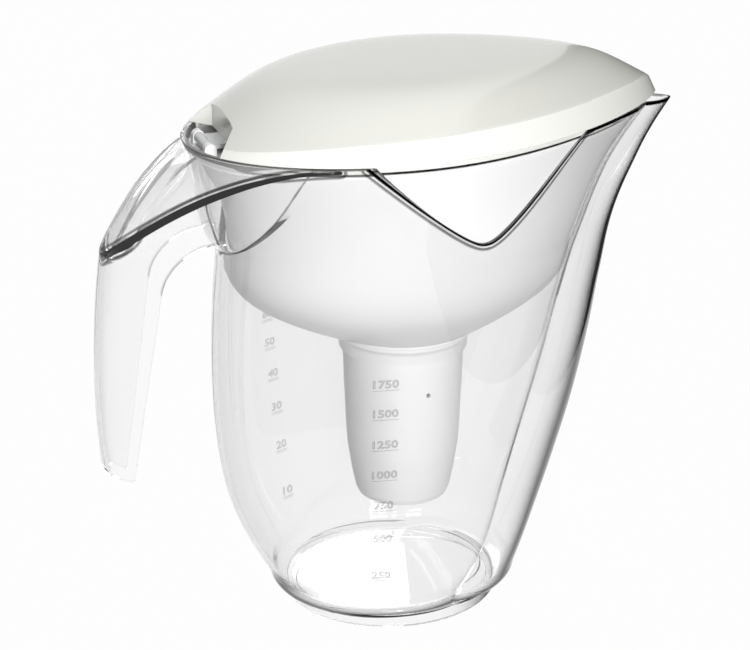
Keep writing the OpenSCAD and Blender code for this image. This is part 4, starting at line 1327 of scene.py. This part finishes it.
@dataclass
class Lid:
    """The domed leaf-shaped lid with its side band, skirt and rear notch."""

    form: BodyForm
    edge: float = 255.3
    tip: float = 143.5
    band: float = 13.3
    dome: float = 18.0
    wall: float = 2.2
    middle: float = 22.0
    band_inset: float = 3.0
    skirt_inset: float = 4.6
    skirt_wall: float = 1.6
    skirt_height: float = 4.0
    ledge_rise: float = 1.4
    least_crease: float = 1.2
    notch_front: float = 84.0
    notch_rear: float = 93.0
    notch_inner: float = 19.0
    notch_outer: float = 29.0
    notch_tall: float = 60.0
    crease_round: float = 0.05
    nose: float = 3.0
    rise: float = 3.1

    def outline(self, inset: float) -> Array:
        """Leaf-shaped outline: an arc at the rear, then a leaf's side to the tip."""
        form = self.form
        s = form.level(np.array(form.rim_height), inset + 0.2)
        t = np.sin(quarter(110))
        front = self.tip - inset * 1.4
        side = form.half_width_at(t, s[2], np.array(form.rim_height))
        half = np.concatenate([np.stack(form.arc(s, quarter(60, ends=False)), -1),
                               np.stack([mix(s[1], front, t), side], -1)])
        nose = max(self.nose - inset * 0.6, 0.6)
        d = front - half[:, 0]
        tip = np.sqrt(np.clip(nose ** 2 - (nose - np.minimum(d, nose)) ** 2, 0, None)) * 0.8
        half[:, 1] = np.where(d < nose, np.maximum(half[:, 1], tip), half[:, 1])
        half[[0, -1], 1] = 0.0
        return np.concatenate([half * [1, -1], half[-2:0:-1]])

    def band_height(self, x: Array) -> Array:
        """Height of the side band: full along the sides, low at the rear and lower at the tip."""
        t = np.clip((x + self.form.rim_rear) / (self.tip + self.form.rim_rear), 0, 1)
        return self.band * (1 - 0.92 * (1 - t) ** 4) * (1 - 0.35 * t ** 20)

    def ring(self, flat: Array, z: Array | float) -> Array:
        """One ring from a flat outline and its heights."""
        return np.c_[flat, np.broadcast_to(z, len(flat))][None]

    def top_rings(self, inset: float, drop: float, least: float) -> Array:
        """The band's upper part, its rounded crease and the dome. At share r of the way out the
        dome's height goes with s / (1 + s^4)^(1/4), where s is the rise times 1 - r."""
        low, crease = self.outline(inset), self.outline(inset + self.band_inset)
        band = self.band_height(low[:, 0])
        middle = np.array([self.middle, 0.0])

        def dome(r: float) -> Array:
            """Ring of the dome at share r of the way out."""
            s = self.rise * (1 - r)
            h = mix(band, self.band + self.dome, s / (1 + s ** 4) ** 0.25) - drop
            return self.ring(mix(middle, crease, r), self.edge + h)[0]

        corner = self.ring(crease, self.edge + np.maximum(band - drop, least))[0]
        below = mix(self.ring(low, self.edge)[0], corner, 1 - self.crease_round * 1.6)
        above = dome(1 - self.crease_round * 0.35)
        t = np.linspace(0, 1, 7)[:, None, None]
        bend = (1 - t) ** 2 * below + 2 * t * (1 - t) * corner + t ** 2 * above
        out = np.linspace(1 - self.crease_round * 0.35, 0.04, 40)[1:]
        rest = np.stack([dome(r) for r in out])
        return np.concatenate([bend, rest])

    def outside(self) -> Skin:
        """The lid's outer face with the skirt's outer face below it."""
        low = self.edge - self.skirt_height
        skirt = self.outline(self.skirt_inset)
        edge = self.outline(0.0)
        rings = np.concatenate([
            self.ring(self.outline(self.skirt_inset + 0.3), low), self.ring(skirt, low + 0.5),
            self.ring(skirt, self.edge), self.ring(self.outline(0.35), self.edge),
            self.ring(self.outline(0.06), self.edge + 0.3), self.top_rings(0.0, 0.0, 0.0)])
        top = self.edge + self.band + self.dome
        return vessel(rings, [self.middle, 0, low], [self.middle, 0, top])

    def inside(self) -> Skin:
        """What the lid is hollow of, down through the skirt."""
        low = self.edge - self.skirt_height - 1
        inner = self.outline(self.skirt_inset + self.skirt_wall)
        shell = self.outline(self.wall + 0.5)

        def ledge(flat: Array) -> Array:
            """Ring at the height of the ledge's upper face."""
            h = np.maximum(self.band_height(flat[:, 0]) - self.wall, self.least_crease) - 0.4
            return self.ring(flat, self.edge + np.minimum(self.ledge_rise, h))

        rings = np.concatenate([self.ring(inner, low), ledge(inner), ledge(shell),
                                self.top_rings(self.wall, self.wall, self.least_crease)])
        top = self.edge + self.band + self.dome - self.wall
        return vessel(rings, [self.middle, 0, low], [self.middle, 0, top])

    def mark(self, lid: bpy.types.Object) -> None:
        """Stores on each face whether it lies below the crease, where the band gets a lighter
        colour: painted light for the light that falls on the band.
        """
        mesh = lid.data
        x, _, z = rows_of(mesh.polygons, "center").T / MM
        below = (z < self.edge + self.band_height(x) * 0.985).astype(float)
        mesh.attributes.new("painted_light_mask", "FLOAT", "FACE").data.foreach_set("value", below)

    def notch(self, wall: float, low: float) -> Skin:
        """The rear notch as an upright block, with a wall added round it."""
        slant = (self.notch_outer - self.notch_inner) / (self.notch_rear - self.notch_front)
        inner = self.notch_inner + wall
        outer = inner + slant * (20 + self.notch_rear - self.notch_front)
        front, rear = wall - self.notch_front, -self.notch_rear - 20
        corners = [[front, -inner], [front, inner], [rear, outer], [rear, -outer]]
        return prism(np.array(corners), low, low + self.notch_tall)

    def build(self) -> list[bpy.types.Object]:
        """Builds the lid and puts it on its body."""
        hollow = combined("hollow", self.inside(), (Step.TAKE, self.notch(self.wall, self.edge)))
        inner = Skin.of(hollow.data, MM)
        bpy.data.objects.remove(hollow)
        lid = combined("domed_lid", self.outside(), (Step.TAKE, inner),
                       (Step.TAKE, self.notch(0.0, self.edge - self.skirt_height - 10)))
        self.mark(lid)
        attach(lid, "lid_body")
        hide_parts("lid")
        # The side band below the crease is painted lighter than the dome: painted light.
        wear(lid, Moulded("cream_plastic", (0.69, 0.69, 0.645), roughness=0.2, coat=0.6, grain=2.0,
                          grain_height=0.008, mottle=0.01, painted_light=(0.83, 0.83, 0.79)).make())
        return [lid]


# ---- Cartridge and hinge tongue -------------------------------------------

@dataclass
class SolidPieces:
    """The pieces that keep the frame's own shape and get a finish."""

    nodes: dict[str, bpy.types.Object]

    def build(self) -> list[bpy.types.Object]:
        """Dresses the hinge tongue and the cartridge's pieces."""
        white = Moulded("cartridge_white", (0.82, 0.82, 0.82), roughness=0.35, grain=0.8).make()
        finishes = {
            "hinge_tongue": Moulded("grey_plastic", (0.62, 0.63, 0.64), roughness=0.3).make(),
            "cartridge_housing": white,
            "cartridge_cap": white,
            "cartridge_seal": Moulded("seal_rubber", (0.5, 0.52, 0.54), roughness=0.6).make(),
            "upper_screen": Moulded("screen_mesh", (0.7, 0.71, 0.73), roughness=0.7).make(),
            "filter_media": Moulded("black_granules", (0.03, 0.03, 0.03), roughness=0.6).make(),
            "lower_screen": Moulded("lower_screen_mesh", (0.7, 0.71, 0.73), roughness=0.7).make(),
        }
        for name, finish in finishes.items():
            node = self.nodes[name]
            if not node.material_slots:
                node.data.materials.append(finish)
            for slot in node.material_slots:
                slot.material = finish
        return [self.nodes[name] for name in finishes]


# ---- Stage ----------------------------------------------------------------

@dataclass(frozen=True)
class Stage:
    """White floor, soft lamps, a dark card, a plain world and the camera."""

    turn: float = -0.32536
    rise: float = 0.40248
    roll: float = -0.00237
    distance: float = 1300.177
    focal_px: float = 2565.443
    picture_width: float = 750.0
    sensor_width: float = 36.0
    target: tuple[float, float, float] = (-6.855, 0.0, 146.516)
    lamp_middle: float = 0.15
    floor_reach: float = 60.0

    def camera(self) -> None:
        """Camera from its turn, its rise and its roll."""
        roll, back = self.roll, direction(self.turn, self.rise)
        right = np.array([math.cos(self.turn), math.sin(self.turn), 0.0])
        up = np.cross(back, right)
        right, up = (math.cos(roll) * right + math.sin(roll) * up,
                     -math.sin(roll) * right + math.cos(roll) * up)
        place = (np.array(self.target) + self.distance * back) * MM
        data = bpy.data.cameras.new("camera")
        data.sensor_width = self.sensor_width
        data.lens = self.focal_px * self.sensor_width / self.picture_width
        data.clip_start, data.clip_end = 0.05, 50.0
        made = bpy.data.objects.new("camera", data)
        turn = np.eye(4)
        turn[:3, :3], turn[:3, 3] = np.stack([right, up, back], axis=1), place
        made.matrix_world = Matrix(turn.tolist())
        bpy.context.scene.collection.objects.link(made)
        bpy.context.scene.camera = made

    def lamp(self, name: str, turn: float, rise: float, away: float, size: tuple[float, float],
             power: float) -> None:
        """Soft rectangular lamp that faces the object and that nothing mirrors.

        Args:
            name: The lamp's name.
            turn: Degrees round the object from the front, to the right.
            rise: Degrees above the floor.
            away: Distance in metres.
            size: Width and height in metres.
            power: Watts.
        """
        data = bpy.data.lights.new(name, "AREA")
        data.shape, data.size, data.size_y, data.energy = "RECTANGLE", *size, power
        made = bpy.data.objects.new(name, data)
        made.visible_glossy = False
        middle = Vector((0.0, 0.0, self.lamp_middle))
        made.location = middle + away * Vector(direction(math.radians(turn), math.radians(rise)))
        aim = middle - made.location
        made.rotation_euler = aim.to_track_quat("-Z", "Y").to_euler()
        bpy.context.scene.collection.objects.link(made)

    def floor(self) -> None:
        """White floor that keeps a soft shadow: mostly plain white where it is seen, and a
        grey sheet where it only sends light back."""
        n = self.floor_reach
        floor = Skin(np.array([[-n, -n, 0], [n, -n, 0], [n, n, 0], [-n, n, 0]]) / MM,
                     np.array([[0, 1, 2, 3]])).piece("floor")
        made = bpy.data.materials.new("floor")
        book = Book(made)
        seen = book.paths(*SEEN)
        white = book.add("ShaderNodeEmission", {}, {"Color": (1, 1, 1, 1), "Strength": 1.0})
        paper = book.add("ShaderNodeBsdfDiffuse", {}, {"Color": (0.1, 0.1, 0.1, 1)})
        book.surface(book.add("ShaderNodeMixShader", {}, {0: seen * 0.985, 1: paper, 2: white}))
        floor.data.materials.append(made)

    def flag(self) -> None:
        """Dark card to the right, which only glossy reflections show."""
        a = self.turn
        right = np.array([math.cos(a), math.sin(a)])
        ahead = np.array([-math.sin(a), math.cos(a)])
        near, far = 250 * right - 500 * ahead, 330 * right + 1300 * ahead
        corners = np.array([[*near, 0], [*far, 0], [*far, 700], [*near, 700]])
        card = Skin(corners, np.array([[0, 1, 2, 3]])).piece("flag")
        made = bpy.data.materials.new("flag")
        book = Book(made)
        book.surface(book.add("ShaderNodeBsdfDiffuse", {}, {"Color": (0.02, 0.02, 0.02, 1)}))
        card.data.materials.append(made)
        card.visible_camera = card.visible_transmission = False
        card.visible_diffuse = card.visible_shadow = False

    def world(self) -> None:
        """World that is plain white where it is seen and dimmer as a light."""
        world = bpy.data.worlds.new("studio")
        bpy.context.scene.world = world
        book = Book(world)
        seen = book.paths(*SEEN)
        air = book.add("ShaderNodeBackground", {}, {
            "Color": (1, 1, 1, 1), "Strength": seen * 0.82 + 0.18})
        book.add("ShaderNodeOutputWorld", {}, {"Surface": air})

    def build(self) -> None:
        """Sets the whole stage."""
        bpy.context.scene.view_settings.view_transform = "Standard"
        self.camera()
        self.floor()
        self.world()
        self.flag()
        self.lamp("key", -8.0, 14.0, 1.8, (0.6, 0.6), 39.0)
        self.lamp("top", 172.0, 60.0, 1.6, (1.4, 1.0), 10.5)
        self.lamp("back", 180.0, 18.0, 1.8, (1.2, 1.0), 14.0)


def main() -> None:
    """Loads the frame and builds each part."""
    logging.basicConfig(level=logging.INFO, format="%(message)s")
    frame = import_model()
    form = BodyForm()
    for part in (Jug(form), VolumeScale(form), Funnel(form), Lid(form),
                 SolidPieces(frame["nodes"])):
        for piece in part.build():
            LOG.info("%s: %d faces", piece.name, len(piece.data.polygons))
    Stage().build()


if __name__ == "__main__":
    main()
